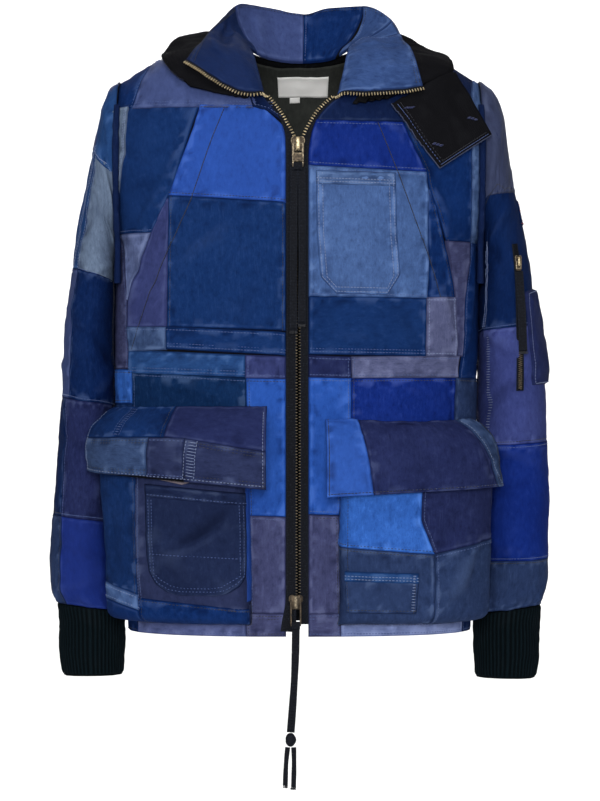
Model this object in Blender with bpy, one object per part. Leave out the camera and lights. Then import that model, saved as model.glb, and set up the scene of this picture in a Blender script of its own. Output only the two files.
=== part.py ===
"""A hip-length jacket pieced from faded work cloth, filled out as when it is worn.

Metres, +Z up. The front faces -Y and the wearer's left is +X. The origin is the middle of the neck
opening, at the height where the shoulder seams meet it. Every piece of cloth is a thin closed wall,
worked out from the tables below: a row is one level of the body, one ring of a sleeve or one station
round a collar, and the tables give the outer face of the cloth.
"""

import math

import bmesh
import bpy
import numpy as np

CLOTH = 0.0018          # jacket cloth with what backs it
PATCH = 0.0012          # one layer sewn on top
KNIT = 0.0030           # rib knit and wool
GAP = 0.0005            # between pieces that are sewn together

HEM = -0.6355           # height of the bottom edge
ARM_X = 0.200           # distance of each armhole from the middle
ARM_MIDDLE = -0.1165
ARM_HALF_HEIGHT = 0.0885
ARM_HALF_DEPTH = 0.068
ARM_ROUNDNESS = 0.72    # 0.5 would make the armhole an ellipse; more draws its ends to a point
CROWN = 0.105           # how far below the shoulder seam the chest is at full depth
SHOULDER_FADE = 0.200   # how far down the slope of the shoulders still shows
SQUARENESS = 2.5        # of the body's rounded sides
SLEEVE_SQUARENESS = 2.3
SEAM = 0.0012           # between the fronts and the back
NECK_HALF = 0.060
NECK_BACK_DROP = 0.012
FRONT_COLUMNS = 11
RING = 16               # points round a sleeve

SHARP = 40              # degrees between faces that are shaded apart
NEAR = 0.12             # of a column or row: a grid line this close to an edge is left out

TAB_BULGE = 0.006
TAB_OUT = 0.0110        # least distance of the tab's face from the body
LINING_DROP = 0.0026    # from a panel's outer face to the lining under it
SLEEVE_POCKET_RISE = 0.0045
POCKET_DEPTH = 0.027    # how far a filled cargo pocket stands off
FLAP_RISE = 0.035


def table(names, *rows):
    """Rows of numbers under named columns. The first column is the one they are read by."""
    return {"names": names.split(), "rows": np.array(rows, float)}


BODY = table(
    "height right left front back",
    (-0.6355, 0.189, 0.189, 0.121, 0.112),
    (-0.550, 0.193, 0.192, 0.123, 0.108),
    (-0.450, 0.200, 0.195, 0.124, 0.106),
    (-0.360, 0.2045, 0.197, 0.124, 0.106),
    (-0.290, 0.204, 0.199, 0.123, 0.110),
    (-0.200, 0.200, 0.200, 0.122, 0.114),
    (-0.100, 0.200, 0.200, 0.119, 0.112),
    (0.000, 0.200, 0.200, 0.116, 0.106),
)

SHOULDER = table(
    "out height",
    (0.000, 0.016),
    (0.060, 0.011),
    (0.150, -0.001),
    (0.200, -0.028),
)

# how far from the middle each front ends, from the closed zip up to the side of the neck
FRONT_EDGE = table(
    "height right left",
    (-0.6355, 0.0145, 0.0105),
    (-0.120, 0.0145, 0.0105),
    (-0.105, 0.0150, 0.0125),
    (-0.0895, 0.0190, 0.0175),
    (-0.073, 0.0300, 0.0300),
    (-0.062, 0.0390, 0.0430),
    (-0.045, 0.0470, 0.0520),
    (-0.025, 0.0530, 0.0580),
    (0.000, 0.0580, 0.0620),
)

FRONT_ROWS = (
    -0.6355, -0.605, -0.565, -0.520, -0.478, -0.452, -0.425, -0.392, -0.355, -0.315, -0.275, -0.235, -0.205,
    -0.198, -0.182, -0.155, -0.128, -0.105, -0.0895, -0.073, -0.062, -0.045, -0.025, -0.012, -0.003, 0.0,
)
BACK_ACROSS = (1.0, 0.98, 0.91, 0.80, 0.64, 0.46, 0.30, 0.25, 0.17, 0.0)     # shares of its half width
BACK_ROWS = (
    -0.6355, -0.560, -0.480, -0.400, -0.320, -0.250, -0.205,
    -0.196, -0.180, -0.152, -0.120, -0.085, -0.055, -0.030, -0.014, -0.004, 0.0,
)

SLEEVE_RIGHT = table(
    "step out_x out_z in_x in_z middle depth",
    (0, 0.2006, -0.0250, 0.2006, -0.2075, 0.000, 0.0710),
    (1, 0.2110, -0.0340, 0.2030, -0.2110, 0.001, 0.0730),
    (2, 0.2190, -0.0620, 0.2036, -0.2160, 0.002, 0.0745),
    (3, 0.2280, -0.0980, 0.2042, -0.2220, 0.003, 0.0760),
    (4, 0.2410, -0.1570, 0.2062, -0.2350, 0.005, 0.0770),
    (5, 0.2530, -0.2300, 0.2058, -0.2620, 0.009, 0.0760),
    (6, 0.2615, -0.3020, 0.2065, -0.3160, 0.014, 0.0740),
    (7, 0.2660, -0.3730, 0.2065, -0.3840, 0.026, 0.0670),
    (8, 0.2725, -0.4480, 0.2070, -0.4520, 0.034, 0.0600),
    (9, 0.2765, -0.5050, 0.2080, -0.5100, 0.037, 0.0570),
    (10, 0.2795, -0.5600, 0.2060, -0.5660, 0.037, 0.0530),
    (11, 0.2790, -0.5900, 0.2010, -0.6000, 0.036, 0.0470),
    (12, 0.2740, -0.6070, 0.1965, -0.6170, 0.036, 0.0370),
)
SLEEVE_LEFT = table(
    "step out_x out_z in_x in_z middle depth",
    (0, 0.2006, -0.0250, 0.2006, -0.2075, 0.000, 0.0710),
    (1, 0.2140, -0.0360, 0.2030, -0.2110, 0.001, 0.0730),
    (2, 0.2245, -0.0580, 0.2034, -0.2160, 0.002, 0.0745),
    (3, 0.2310, -0.0980, 0.2036, -0.2220, 0.003, 0.0760),
    (4, 0.2400, -0.1500, 0.2038, -0.2350, 0.005, 0.0770),
    (5, 0.2560, -0.2250, 0.2022, -0.2620, 0.009, 0.0760),
    (6, 0.2670, -0.3020, 0.2012, -0.3160, 0.014, 0.0740),
    (7, 0.2765, -0.3780, 0.2005, -0.3840, 0.022, 0.0680),
    (8, 0.2795, -0.4480, 0.2020, -0.4520, 0.032, 0.0620),
    (9, 0.2805, -0.5100, 0.2050, -0.5140, 0.036, 0.0580),
    (10, 0.2805, -0.5650, 0.2050, -0.5700, 0.037, 0.0540),
    (11, 0.2780, -0.5900, 0.2010, -0.6030, 0.036, 0.0470),
    (12, 0.2720, -0.6100, 0.1975, -0.6200, 0.036, 0.0370),
)
CUFF = table(
    "step out_x out_z in_x in_z middle depth",
    (0, 0.2735, -0.6078, 0.1970, -0.6178, 0.036, 0.0370),
    (1, 0.2700, -0.6320, 0.1978, -0.6370, 0.036, 0.0345),
    (2, 0.2695, -0.6620, 0.1985, -0.6630, 0.036, 0.0335),
    (3, 0.2670, -0.6900, 0.1990, -0.6890, 0.036, 0.0330),
)
CUFF_LEFT_DROP = 0.003  # the left sleeve ends that much lower

# the standing collar, from its right front end (-X) round the back of the neck to its left end
COLLAR = table(
    "station low_x low_y low_z mid_x mid_y mid_z top_x top_y top_z",
    (0, -0.0380, -0.1105, -0.0480, -0.0714, -0.1160, -0.0440, -0.1230, -0.0780, -0.0095),
    (1, -0.0500, -0.0590, -0.0005, -0.0850, -0.0600, 0.0110, -0.1041, -0.0350, 0.0202),
    (2, -0.0545, 0.0030, 0.0130, -0.0740, 0.0080, 0.0320, -0.0830, 0.0100, 0.0511),
    (3, -0.0388, 0.0305, 0.0066, -0.0570, 0.0440, 0.0420, -0.0625, 0.0500, 0.0701),
    (4, -0.0210, 0.0410, 0.0040, -0.0290, 0.0600, 0.0400, -0.0332, 0.0750, 0.0685),
    (5, 0.0040, 0.0440, 0.0030, 0.0046, 0.0650, 0.0380, 0.0046, 0.0850, 0.0630),
    (6, 0.0270, 0.0390, 0.0042, 0.0330, 0.0600, 0.0400, 0.0356, 0.0780, 0.0689),
    (7, 0.0400, 0.0296, 0.0066, 0.0640, 0.0400, 0.0380, 0.0728, 0.0500, 0.0674),
    (8, 0.0555, 0.0030, 0.0135, 0.0870, 0.0020, 0.0300, 0.1040, 0.0100, 0.0460),
    (9, 0.0525, -0.0590, -0.0005, 0.0930, -0.0640, 0.0030, 0.1206, -0.0400, 0.0008),
    (10, 0.0420, -0.1110, -0.0500, 0.0877, -0.1180, -0.0460, 0.1340, -0.1020, -0.0415),
)
COLLAR_LEVELS = (0.0, 0.25, 0.5, 0.75, 1.0)
COLLAR_OUT = 0.0150             # least distance of the seen face from the body
OUTER_COLLAR_OUT = 0.0092
COLLAR_CUTS = (2.55, 8.05)      # stations of the two cross seams
COLLAR_ENDS = (0.0, 10.0)

# the black collar that lies outside it
OUTER_COLLAR = table(
    "station low_x low_y low_z mid_x mid_y mid_z top_x top_y top_z",
    (0, -0.0530, -0.1112, -0.0520, -0.0691, -0.1115, -0.0530, -0.1184, -0.0985, -0.0410),
    (1, -0.0710, -0.0780, -0.0250, -0.0950, -0.0830, -0.0210, -0.1393, -0.0780, -0.0221),
    (2, -0.0750, -0.0320, 0.0040, -0.1060, -0.0300, 0.0080, -0.1531, -0.0280, 0.0000),
    (3, -0.0720, 0.0120, 0.0150, -0.1000, 0.0140, 0.0200, -0.1472, 0.0120, 0.0169),
    (4, -0.0520, 0.0430, 0.0190, -0.0780, 0.0560, 0.0330, -0.1331, 0.0500, 0.0344),
    (5, -0.0280, 0.0560, 0.0160, -0.0460, 0.0780, 0.0350, -0.1000, 0.0850, 0.0440),
    (6, 0.0040, 0.0600, 0.0150, 0.0046, 0.0860, 0.0330, 0.0046, 0.1150, 0.0500),
    (7, 0.0320, 0.0560, 0.0160, 0.0520, 0.0780, 0.0330, 0.1060, 0.0850, 0.0420),
    (8, 0.0570, 0.0430, 0.0180, 0.0880, 0.0500, 0.0280, 0.1427, 0.0400, 0.0195),
    (9, 0.0780, 0.0060, 0.0140, 0.1100, 0.0020, 0.0100, 0.1680, -0.0060, 0.0020),
    (10, 0.0820, -0.0450, -0.0100, 0.1180, -0.0500, -0.0180, 0.1706, -0.0520, -0.0160),
    (11, 0.0760, -0.0950, -0.0400, 0.1020, -0.1020, -0.0400, 0.1400, -0.0880, -0.0380),
    (12, 0.0580, -0.1145, -0.0620, 0.0760, -0.1155, -0.0580, 0.0985, -0.1120, -0.0530),
)

# the long tab at its left end, from the collar down to the free end
THROAT_TAB = table(
    "row left_x left_y left_z right_x right_y right_z",
    (0, 0.0995, -0.1120, -0.0632, 0.1721, -0.0560, -0.0282),
    (1, 0.1110, -0.1200, -0.0766, 0.1820, -0.0760, -0.0400),
    (2, 0.1304, -0.1220, -0.1039, 0.1925, -0.0850, -0.0600),
    (3, 0.1520, -0.1200, -0.1307, 0.2098, -0.0900, -0.0923),
)

# columns and rows are counted on the grid of the panel that carries the piece
POCKETS = {
    "right": dict(outer=1.3, inner_x=-0.053, low=-0.621, high=-0.440),
    "left": dict(outer=1.6, inner_x=0.044, low=-0.621, high=-0.452),
}
FLAPS = {
    "right": dict(outer=1.2, inner_x=-0.034, top=-0.388, bottom_outer=-0.456, bottom_inner=-0.476),
    "left": dict(outer=2.0, inner_x=0.028, top=-0.402, bottom_outer=-0.474, bottom_inner=-0.484),
}
POCKET_PATCHES = {
    "right": dict(outer_x=-0.167, inner_x=-0.064, low=-0.583, high=-0.472),
    "left": dict(outer_x=0.129, inner_x=0.048, low=-0.609, high=-0.563),
}

# two-way zip down the front
TAPE_WIDTH_RIGHT = 0.0110
TAPE_WIDTH_LEFT = 0.0090
TAPE_WIDTH_OPEN = 0.0045
TAPE_THICK = 0.0012
ZIP_X = -0.0012         # middle of the teeth
UPPER_SLIDER_Z = -0.104
# a pull's length below its axis and half width, then its window's half width and length
UPPER_PULL = (0.0255, 0.0066, 0.0040, 0.0100)
LOWER_SLIDER_X = -0.0035
LOWER_SLIDER_Z = -0.598
LOWER_PULL = (0.0260, 0.0062, 0.0042, 0.0225)
SLEEVE_PULL = (0.0100, 0.0034, 0.0018, 0.0070)
KNOT = (0.0060, 0.0050, 0.0075)     # half sizes

PIVOT_OUT = 0.0031      # from the tape to the axis that a pull swings on
PLATE_OUT = (0.0007, 0.0020)
ARCH_OUT = (0.0043, 0.0056)
PULL_HALF_THICK = 0.0006
# half width and half height, then its arch's half width and how far it reaches inside and outside
SLIDER_SIZE = (0.0078, 0.0078, 0.0020, 0.0057, 0.0072)
SLEEVE_SLIDER_SIZE = (0.0040, 0.0070, 0.0011, 0.00375, 0.00525)
SLEEVE_YAW = 14         # degrees that the sleeve's slider is turned outward

RIBBON_THICK = 0.0012
CORD_STEPS = 12

COLOURS = {
    "blue": (0.030, 0.085, 0.330),
    "navy": (0.010, 0.024, 0.110),
    "slate": (0.070, 0.090, 0.210),
    "purple": (0.055, 0.048, 0.130),
    "light": (0.110, 0.170, 0.420),
    "black": (0.010, 0.011, 0.014),
    "white": (0.800, 0.790, 0.760),
    "brass": (0.450, 0.340, 0.160),
}


def clear_scene():
    for thing in list(bpy.data.objects):
        bpy.data.objects.remove(thing)


def material(colour, metallic=0.0, roughness=0.85):
    name = "finish_" + colour
    found = bpy.data.materials.get(name)
    if found:
        return found
    made = bpy.data.materials.new(name)
    made.use_nodes = True
    shader = made.node_tree.nodes["Principled BSDF"]
    shader.inputs["Base Color"].default_value = (*COLOURS[colour], 1)
    shader.inputs["Metallic"].default_value = metallic
    shader.inputs["Roughness"].default_value = roughness
    return made


def add(name, points, faces, colour, parent=None, smooth=True):
    """A closed mesh as a named object. Points are in the parent's frame."""
    mesh = bpy.data.meshes.new(name)
    mesh.from_pydata([tuple(point) for point in points], [], faces)
    tidy = bmesh.new()
    tidy.from_mesh(mesh)
    bmesh.ops.recalc_face_normals(tidy, faces=tidy.faces)
    tidy.to_mesh(mesh)
    tidy.free()
    if smooth:
        mesh.shade_smooth()
        mesh.set_sharp_from_angle(angle=math.radians(SHARP))
    metal = colour == "brass"
    mesh.materials.append(material(colour, 1.0 if metal else 0.0, 0.35 if metal else 0.85))
    made = bpy.data.objects.new(name, mesh)
    made.parent = parent
    bpy.context.scene.collection.objects.link(made)
    return made


# ---- tables as smooth curves ----

def column(of, name):
    return of["rows"][:, of["names"].index(name)]


def read(of, name, at):
    """A smooth curve through one column of a table, which never swings past its rows."""
    x = column(of, of["names"][0])
    y = column(of, name)
    rate = np.diff(y) / np.diff(x)
    product = rate[1:] * rate[:-1]
    total = np.where(product > 0, rate[1:] + rate[:-1], 1)
    slope = np.concatenate([rate[:1], np.where(product > 0, 2 * product / total, 0), rate[-1:]])
    at = np.clip(at, x[0], x[-1])
    k = np.clip(np.searchsorted(x, at, side="right") - 1, 0, len(x) - 2)
    step = x[k + 1] - x[k]
    t = (at - x[k]) / step
    low = y[k] * (1 + 2 * t) + slope[k] * step * t
    high = y[k + 1] * (3 - 2 * t) + slope[k + 1] * step * (t - 1)
    return low * (1 - t) ** 2 + high * t * t


def read_point(of, name, at):
    return np.stack([read(of, f"{name}_{axis}", at) for axis in "xyz"], -1)


# ---- the body: a rounded box whose top closes over the shoulders ----

def crown(height):
    return np.sqrt(1 - (1 - np.clip(-height / CROWN, 0, 1)) ** 2)


def shoulder_fade(height):
    t = np.clip(-height / SHOULDER_FADE, 0, 1)
    return 1 - t * t * (3 - 2 * t)


def arm_depth(height):
    z = height + read(SHOULDER, "height", ARM_X) * shoulder_fade(height)
    round_part = 1 - ((z - ARM_MIDDLE) / ARM_HALF_HEIGHT) ** 2
    return ARM_HALF_DEPTH * np.clip(round_part, 0, 1) ** ARM_ROUNDNESS


def body_point(side, face, turn, height):
    """side -1 is the wearer's right, face -1 the front; turn runs from 0 at the side to a quarter turn."""
    half = read(BODY, "right" if side < 0 else "left", height)
    depth = read(BODY, "front" if face < 0 else "back", height) * crown(height)
    start = arm_depth(height)
    x = half * np.cos(turn) ** (2 / SQUARENESS)
    y = start + (depth - start) * np.sin(turn) ** (2 / SQUARENESS) + SEAM / 2
    z = height + read(SHOULDER, "height", x) * shoulder_fade(height)
    return np.stack([side * x, face * y, z], -1)


def turn_at(side, x, height):
    half = read(BODY, "right" if side < 0 else "left", height)
    return np.arccos(np.clip(np.abs(x) / half, 0, 1) ** (SQUARENESS / 2))


def clear_of_body(point, out):
    """The point itself or, if it lies within out of the body, one straight out from the nearest cloth."""
    side = -1 if point[0] < 0 else 1
    face = -1 if point[1] < 0 else 1
    x = min(abs(point[0]), ARM_X * 0.995)
    heights = np.linspace(0, 2 * ARM_MIDDLE, 160) ** 3 / (2 * ARM_MIDDLE) ** 2
    under = body_point(side, face, turn_at(side, x, heights), heights)[:, 1:]
    under[:, 0] *= face
    along = np.gradient(under, axis=0)
    outward = np.stack([-along[:, 1], along[:, 0]], -1)
    outward /= np.linalg.norm(outward, axis=1, keepdims=True)
    here = np.array([abs(point[1]), point[2]])
    nearest = int(np.argmin(np.linalg.norm(under - here, axis=1)))
    if np.dot(here - under[nearest], outward[nearest]) >= out:
        return point
    moved = under[nearest] + outward[nearest] * out
    return np.array([point[0], face * moved[0], moved[1]])


class Panel:
    """A grid of points on the outer face of a piece of cloth, with the way out at each."""

    def __init__(self, points, inside, ring=False):
        self.points = points
        self.ring = ring
        if ring:
            along = np.roll(points, -1, axis=1) - np.roll(points, 1, axis=1)
        else:
            along = np.gradient(points, axis=1)
        normals = np.cross(along, np.gradient(points, axis=0))
        normals /= np.linalg.norm(normals, axis=2, keepdims=True)
        if np.sum(normals * (points - inside)) < 0:
            normals = -normals
        self.normals = normals

    def spot(self, col, row, out=0.0):
        """The point at a column and a row, which may be fractions, moved out from the cloth."""
        rows, columns = self.points.shape[:2]
        r = int(min(max(math.floor(row), 0), rows - 2))
        c = math.floor(col) if self.ring else int(min(max(math.floor(col), 0), columns - 2))
        s, t = row - r, col - c
        corners = (
            (r, c, (1 - s) * (1 - t)),
            (r, c + 1, (1 - s) * t),
            (r + 1, c, s * (1 - t)),
            (r + 1, c + 1, s * t),
        )
        place = sum(weight * self.points[i, j % columns] for i, j, weight in corners)
        normal = sum(weight * self.normals[i, j % columns] for i, j, weight in corners)
        return place + normal * (out / np.linalg.norm(normal))

    def find(self, x, z):
        """The column and row of the point that has this x and z, seen from the front."""
        rows, columns = self.points.shape[:2]
        col = columns / 2
        for _ in range(8):
            heights = [self.spot(col, row)[2] for row in range(rows)]
            row = float(np.interp(z, heights, range(rows)))
            across = [abs(self.spot(c, row)[0]) for c in range(columns)]
            col = float(np.interp(-abs(x), [-a for a in across], range(columns)))
        return col, row


def lines(first, last, extra=()):
    """The panel's own grid lines between two positions, with both ends and any extra ones."""
    low, high = min(first, last), max(first, last)
    own = range(math.ceil(low + NEAR), math.floor(high - NEAR) + 1)
    found = sorted({low, high, *own, *extra})
    return found if first <= last else found[::-1]


def shell(name, panel, wall, colour):
    """A closed wall between a panel's points and the same points moved in by the wall."""
    rows, columns = panel.points.shape[:2]
    outer = panel.points.reshape(-1, 3)
    inner = (panel.points - panel.normals * wall).reshape(-1, 3)
    layer = rows * columns
    cells = columns if panel.ring else columns - 1
    faces = []
    for r in range(rows - 1):
        for c in range(cells):
            d = (c + 1) % columns
            a, b, e, f = r * columns + c, r * columns + d, (r + 1) * columns + d, (r + 1) * columns + c
            for one, two, three in ((a, b, e), (a, e, f)):
                faces.append((one, two, three))
                faces.append((layer + three, layer + two, layer + one))
    for c in range(cells):
        d = (c + 1) % columns
        last = (rows - 1) * columns
        faces.append((c, layer + c, layer + d, d))
        faces.append((last + d, layer + last + d, layer + last + c, last + c))
    if not panel.ring:
        for r in range(rows - 1):
            a, b = r * columns, (r + 1) * columns
            faces.append((b, layer + b, layer + a, a))
            a, b = a + columns - 1, b + columns - 1
            faces.append((a, layer + a, layer + b, b))
    return add(name, np.concatenate([outer, inner]), faces, colour)


def sewn_on(panel, cols, rows, rise):
    """A panel over part of another one, lifted by rise(i, j) at its own column i and row j."""
    grid = [[panel.spot(col, row, rise(i, j)) for i, col in enumerate(cols)] for j, row in enumerate(rows)]
    under = [[panel.spot(col, row, -0.1) for col in cols] for row in rows]
    return Panel(np.array(grid), np.array(under))


def front_panel(side):
    name = "right" if side < 0 else "left"
    rows = []
    for height in FRONT_ROWS:
        last = turn_at(side, read(FRONT_EDGE, name, height), height)
        rows.append(body_point(side, -1, np.linspace(0, last, FRONT_COLUMNS), height))
    return Panel(np.array(rows), np.array([0, 0, -0.3]))


def back_panel():
    across = np.array(BACK_ACROSS)
    turns = np.arccos(across ** (SQUARENESS / 2))
    drop = NECK_BACK_DROP * np.clip(1 - (ARM_X * across / NECK_HALF) ** 2, 0, 1)
    rows = []
    for height in BACK_ROWS:
        level = height - drop * max(0, 1 + height / CROWN) ** 2
        right = body_point(-1, 1, turns, level)
        left = body_point(1, 1, turns, level)[-2::-1]
        rows.append(np.concatenate([right, left]))
    return Panel(np.array(rows), np.array([0, 0, -0.3]))


def tube(of, side, drop=0.0):
    """Rings of a sleeve or a cuff, each turned from its outer point round the front to its inner point."""
    rings = []
    middles = []
    angles = np.arange(RING) * 2 * math.pi / RING
    across = np.sign(np.cos(angles)) * np.abs(np.cos(angles)) ** (2 / SLEEVE_SQUARENESS)
    forward = np.sign(np.sin(angles)) * np.abs(np.sin(angles)) ** (2 / SLEEVE_SQUARENESS)
    for step in column(of, "step"):
        outer = np.array([read(of, "out_x", step), 0, read(of, "out_z", step) - drop])
        inner = np.array([read(of, "in_x", step), 0, read(of, "in_z", step) - drop])
        middle = (outer + inner) / 2 + np.array([0, read(of, "middle", step), 0])
        depth = np.array([0, -read(of, "depth", step), 0])
        ring = middle + across[:, None] * (outer - inner) / 2 + forward[:, None] * depth
        rings.append(ring * (side, 1, 1))
        middles.append(np.broadcast_to(middle * (side, 1, 1), ring.shape))
    return Panel(np.array(rings), np.array(middles), ring=True)


def collar_panel(of, first, last, out):
    """A collar between two stations, curved through its low, middle and top lines and clear of the body."""
    low_whole, high_whole = math.ceil(first * 2 + 0.3), math.floor(last * 2 - 0.3)
    stations = np.array([first, *(half / 2 for half in range(low_whole, high_whole + 1)), last])
    low = read_point(of, "low", stations)
    top = read_point(of, "top", stations)
    bend = 2 * read_point(of, "mid", stations) - (low + top) / 2
    rows = []
    for level in COLLAR_LEVELS:
        row = (1 - level) ** 2 * low + 2 * level * (1 - level) * bend + level ** 2 * top
        in_the_neck = level == 0 and of is COLLAR
        rows.append(row if in_the_neck else [clear_of_body(point, out) for point in row])
    return Panel(np.array(rows), np.array([0, -0.02, 0.05]))


def bar(name, points, across, outward, width, thick, colour, parent=None):
    """A strip of rectangular section along a row of points."""
    points = np.array(points, float)
    across = np.broadcast_to(np.array(across, float), points.shape)
    outward = np.broadcast_to(np.array(outward, float), points.shape)
    width = np.broadcast_to(np.array(width, float), len(points))[:, None]
    signs = ((-1, -1), (1, -1), (1, 1), (-1, 1))
    corners = [points + a * across * width / 2 + b * outward * thick / 2 for a, b in signs]
    made = np.stack(corners, 1).reshape(-1, 3)
    faces = [(0, 1, 2, 3)]
    for k in range(len(points) - 1):
        for c in range(4):
            d = (c + 1) % 4
            faces.append((4 * k + c, 4 * k + 4 + c, 4 * k + 4 + d, 4 * k + d))
    last = 4 * (len(points) - 1)
    faces.append((last + 3, last + 2, last + 1, last))
    return add(name, made, faces, colour, parent)


# ---- pieces ----

def body_pieces():
    right, left, back = front_panel(-1), front_panel(1), back_panel()
    shell("front_right", right, CLOTH, "navy")
    shell("front_left", left, CLOTH, "blue")
    shell("back", back, CLOTH, "navy")
    return right, left, back


def sleeve_pieces():
    right = tube(SLEEVE_RIGHT, -1)
    left = tube(SLEEVE_LEFT, 1)
    shell("sleeve_right", right, CLOTH, "slate")
    shell("sleeve_left", left, CLOTH, "navy")
    shell("cuff_right", tube(CUFF, -1), KNIT, "black")
    shell("cuff_left", tube(CUFF, 1, CUFF_LEFT_DROP), KNIT, "black")
    return left


def collar_pieces():
    """The tables give the face that shows, so these walls grow away from it."""
    first, last = COLLAR_ENDS
    seam_right, seam_left = COLLAR_CUTS
    gap = 0.012
    for name, start, end, colour in (
        ("collar_end_right", first, seam_right - gap, "navy"),
        ("collar_back", seam_right + gap, seam_left - gap, "slate"),
        ("collar_end_left", seam_left + gap, last, "light"),
    ):
        shell(name, collar_panel(COLLAR, start, end, COLLAR_OUT), -CLOTH, colour)
    outer = collar_panel(OUTER_COLLAR, 0, 12, OUTER_COLLAR_OUT)
    shell("outer_collar", outer, -KNIT, "black")
    rows = column(THROAT_TAB, "row")
    left, right = read_point(THROAT_TAB, "left", rows), read_point(THROAT_TAB, "right", rows)
    shares = np.linspace(0, 1, 5)[:, None, None]
    grid = (left * (1 - shares) + right * shares).transpose(1, 0, 2)
    grid[:, :, 1] -= TAB_BULGE * np.sin(np.pi * np.linspace(0, 1, 5))
    grid = np.array([[clear_of_body(point, TAB_OUT) for point in row] for row in grid])
    shell("throat_tab", Panel(grid, np.array([0.15, 0.1, -0.08])), KNIT, "black")


def lining_pieces(right, left, back):
    """Linings and labels lie inside their panels, only where the open neck shows them."""
    last = FRONT_COLUMNS - 1
    top = len(FRONT_ROWS) - 1
    for name, panel in (("facing_right", right), ("facing_left", left)):
        cols, rows = lines(last - 3, last - 0.15), lines(top - 11, top - 1)
        facing = sewn_on(panel, cols, rows, lambda i, j: -LINING_DROP)
        shell(name, facing, PATCH, "black")
    middle = len(BACK_ACROSS) - 1
    top = len(BACK_ROWS) - 1
    cols, rows = lines(middle - 4, middle + 4), lines(top - 9, top - 1.2)
    lining = sewn_on(back, cols, rows, lambda i, j: -LINING_DROP)
    shell("back_lining", lining, PATCH, "black")
    for name, cols, rows in (
        ("neck_label", (middle - 0.735, middle + 1), (top - 3.4, top - 1.6)),
        ("size_tab", (middle - 0.34, middle + 0.035), (top - 3.72, top - 3.42)),
    ):
        label = sewn_on(back, lines(*cols), lines(*rows), lambda i, j: -LINING_DROP - PATCH - GAP)
        shell(name, label, PATCH / 2, "white")


def profile(count, ends=(0.0, 0.72), top_open=False):
    """Rise of each line of a bellows pocket: 0 at the seam, most of it at the next line, then full."""
    rise = [1.0] * count
    rise[0], rise[1] = ends
    if not top_open:
        rise[-1], rise[-2] = ends
    return rise


def cargo_pocket(side, panel):
    name = "right" if side < 0 else "left"
    size = POCKETS[name]
    inner, low = panel.find(size["inner_x"], size["low"])
    high = panel.find(size["inner_x"], size["high"])[1]
    cols = lines(size["outer"], inner, (size["outer"] + 0.10, inner - 0.10))
    rows = lines(low, high, (low + 0.10,))
    across, upward = profile(len(cols)), profile(len(rows), top_open=True)
    seat = GAP + PATCH
    made = sewn_on(panel, cols, rows, lambda i, j: seat + POCKET_DEPTH * across[i] * upward[j])
    shell("cargo_pocket_" + name, made, PATCH, "navy" if side < 0 else "light")

    patch = POCKET_PATCHES[name]
    outer, low = made.find(patch["outer_x"], patch["low"])
    inner, high = made.find(patch["inner_x"], patch["high"])
    patch = sewn_on(made, lines(outer, inner), lines(low, high), lambda i, j: GAP + PATCH)
    shell("patch_pocket_" + name, patch, PATCH, "navy" if side < 0 else "slate")

    flap = FLAPS[name]
    inner, top = panel.find(flap["inner_x"], flap["top"])
    ends = [panel.find(flap["inner_x"], flap["bottom_" + end])[1] for end in ("outer", "inner")]
    cols = lines(flap["outer"], inner)
    rises = (-0.015, 0.55, 0.86, 0.97, 1.0)
    shares = (0.0, 0.16, 0.42, 0.72, 1.0)
    grid = []
    under = []
    for share, rise in zip(shares, rises):
        bottoms = np.interp(cols, (cols[0], cols[-1]), ends)
        places = [(col, top + (bottom - top) * share) for col, bottom in zip(cols, bottoms)]
        grid.append([panel.spot(col, row, GAP + CLOTH + FLAP_RISE * rise) for col, row in places])
        under.append([panel.spot(col, row, -0.1) for col, row in places])
    colour = "slate" if side < 0 else "purple"
    shell("cargo_flap_" + name, Panel(np.array(grid), np.array(under)), CLOTH, colour)


def chest_pocket(panel):
    outer, low = panel.find(0.108, -0.262)
    inner, high = panel.find(0.022, -0.134)
    cols, rows = lines(outer, inner), lines(low, high)
    shell("chest_pocket", sewn_on(panel, cols, rows, lambda i, j: GAP + PATCH), PATCH, "light")


def zip_tape(side, panel):
    name = "right" if side < 0 else "left"
    width = TAPE_WIDTH_RIGHT if side < 0 else TAPE_WIDTH_LEFT
    points = []
    widths = []
    across = []
    for height in FRONT_ROWS[:-5]:
        edge = read(FRONT_EDGE, name, height)
        open_part = min(max((height + 0.110) / 0.020, 0), 1)
        wide = width + (TAPE_WIDTH_OPEN - width) * open_part
        x = edge - GAP - wide / 2
        point = body_point(side, -1, turn_at(side, x, height), height)
        points.append(point + np.array([0, -0.0002, 0]))
        widths.append(wide)
        across.append((1, 0, 0))
    inside = collar_panel(COLLAR, *COLLAR_ENDS, COLLAR_OUT).points
    edge = inside[:, 0 if side < 0 else -1]
    away = edge - inside[:, 1 if side < 0 else -2]
    away /= np.linalg.norm(away, axis=1, keepdims=True)
    points.extend(edge + away * (3 * GAP + TAPE_WIDTH_OPEN / 2) + np.array([0, 0.0009, 0]))
    widths.extend([TAPE_WIDTH_OPEN] * len(edge))
    across.extend(away)
    points = np.array(points)
    across = np.array(across)
    outward = np.cross(np.gradient(points, axis=0), across)
    outward /= np.linalg.norm(outward, axis=1, keepdims=True)
    bar("zip_tape_" + name, points, across, outward, widths, TAPE_THICK, "black")


# ---- zip sliders, pulls and ribbons; outward is -Y in each slider's own frame ----

def prism(name, outline, low, high, place, colour, parent):
    """An outline pushed from low to high. place turns (along, up, depth) into x, y and z."""
    points = [place(a, b, depth) for depth in (low, high) for a, b in outline]
    count = len(outline)
    faces = [tuple(range(count)), tuple(range(2 * count - 1, count - 1, -1))]
    for k in range(count):
        n = (k + 1) % count
        faces.append((k, count + k, count + n, n))
    return add(name, points, faces, colour, parent, smooth=False)


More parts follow.
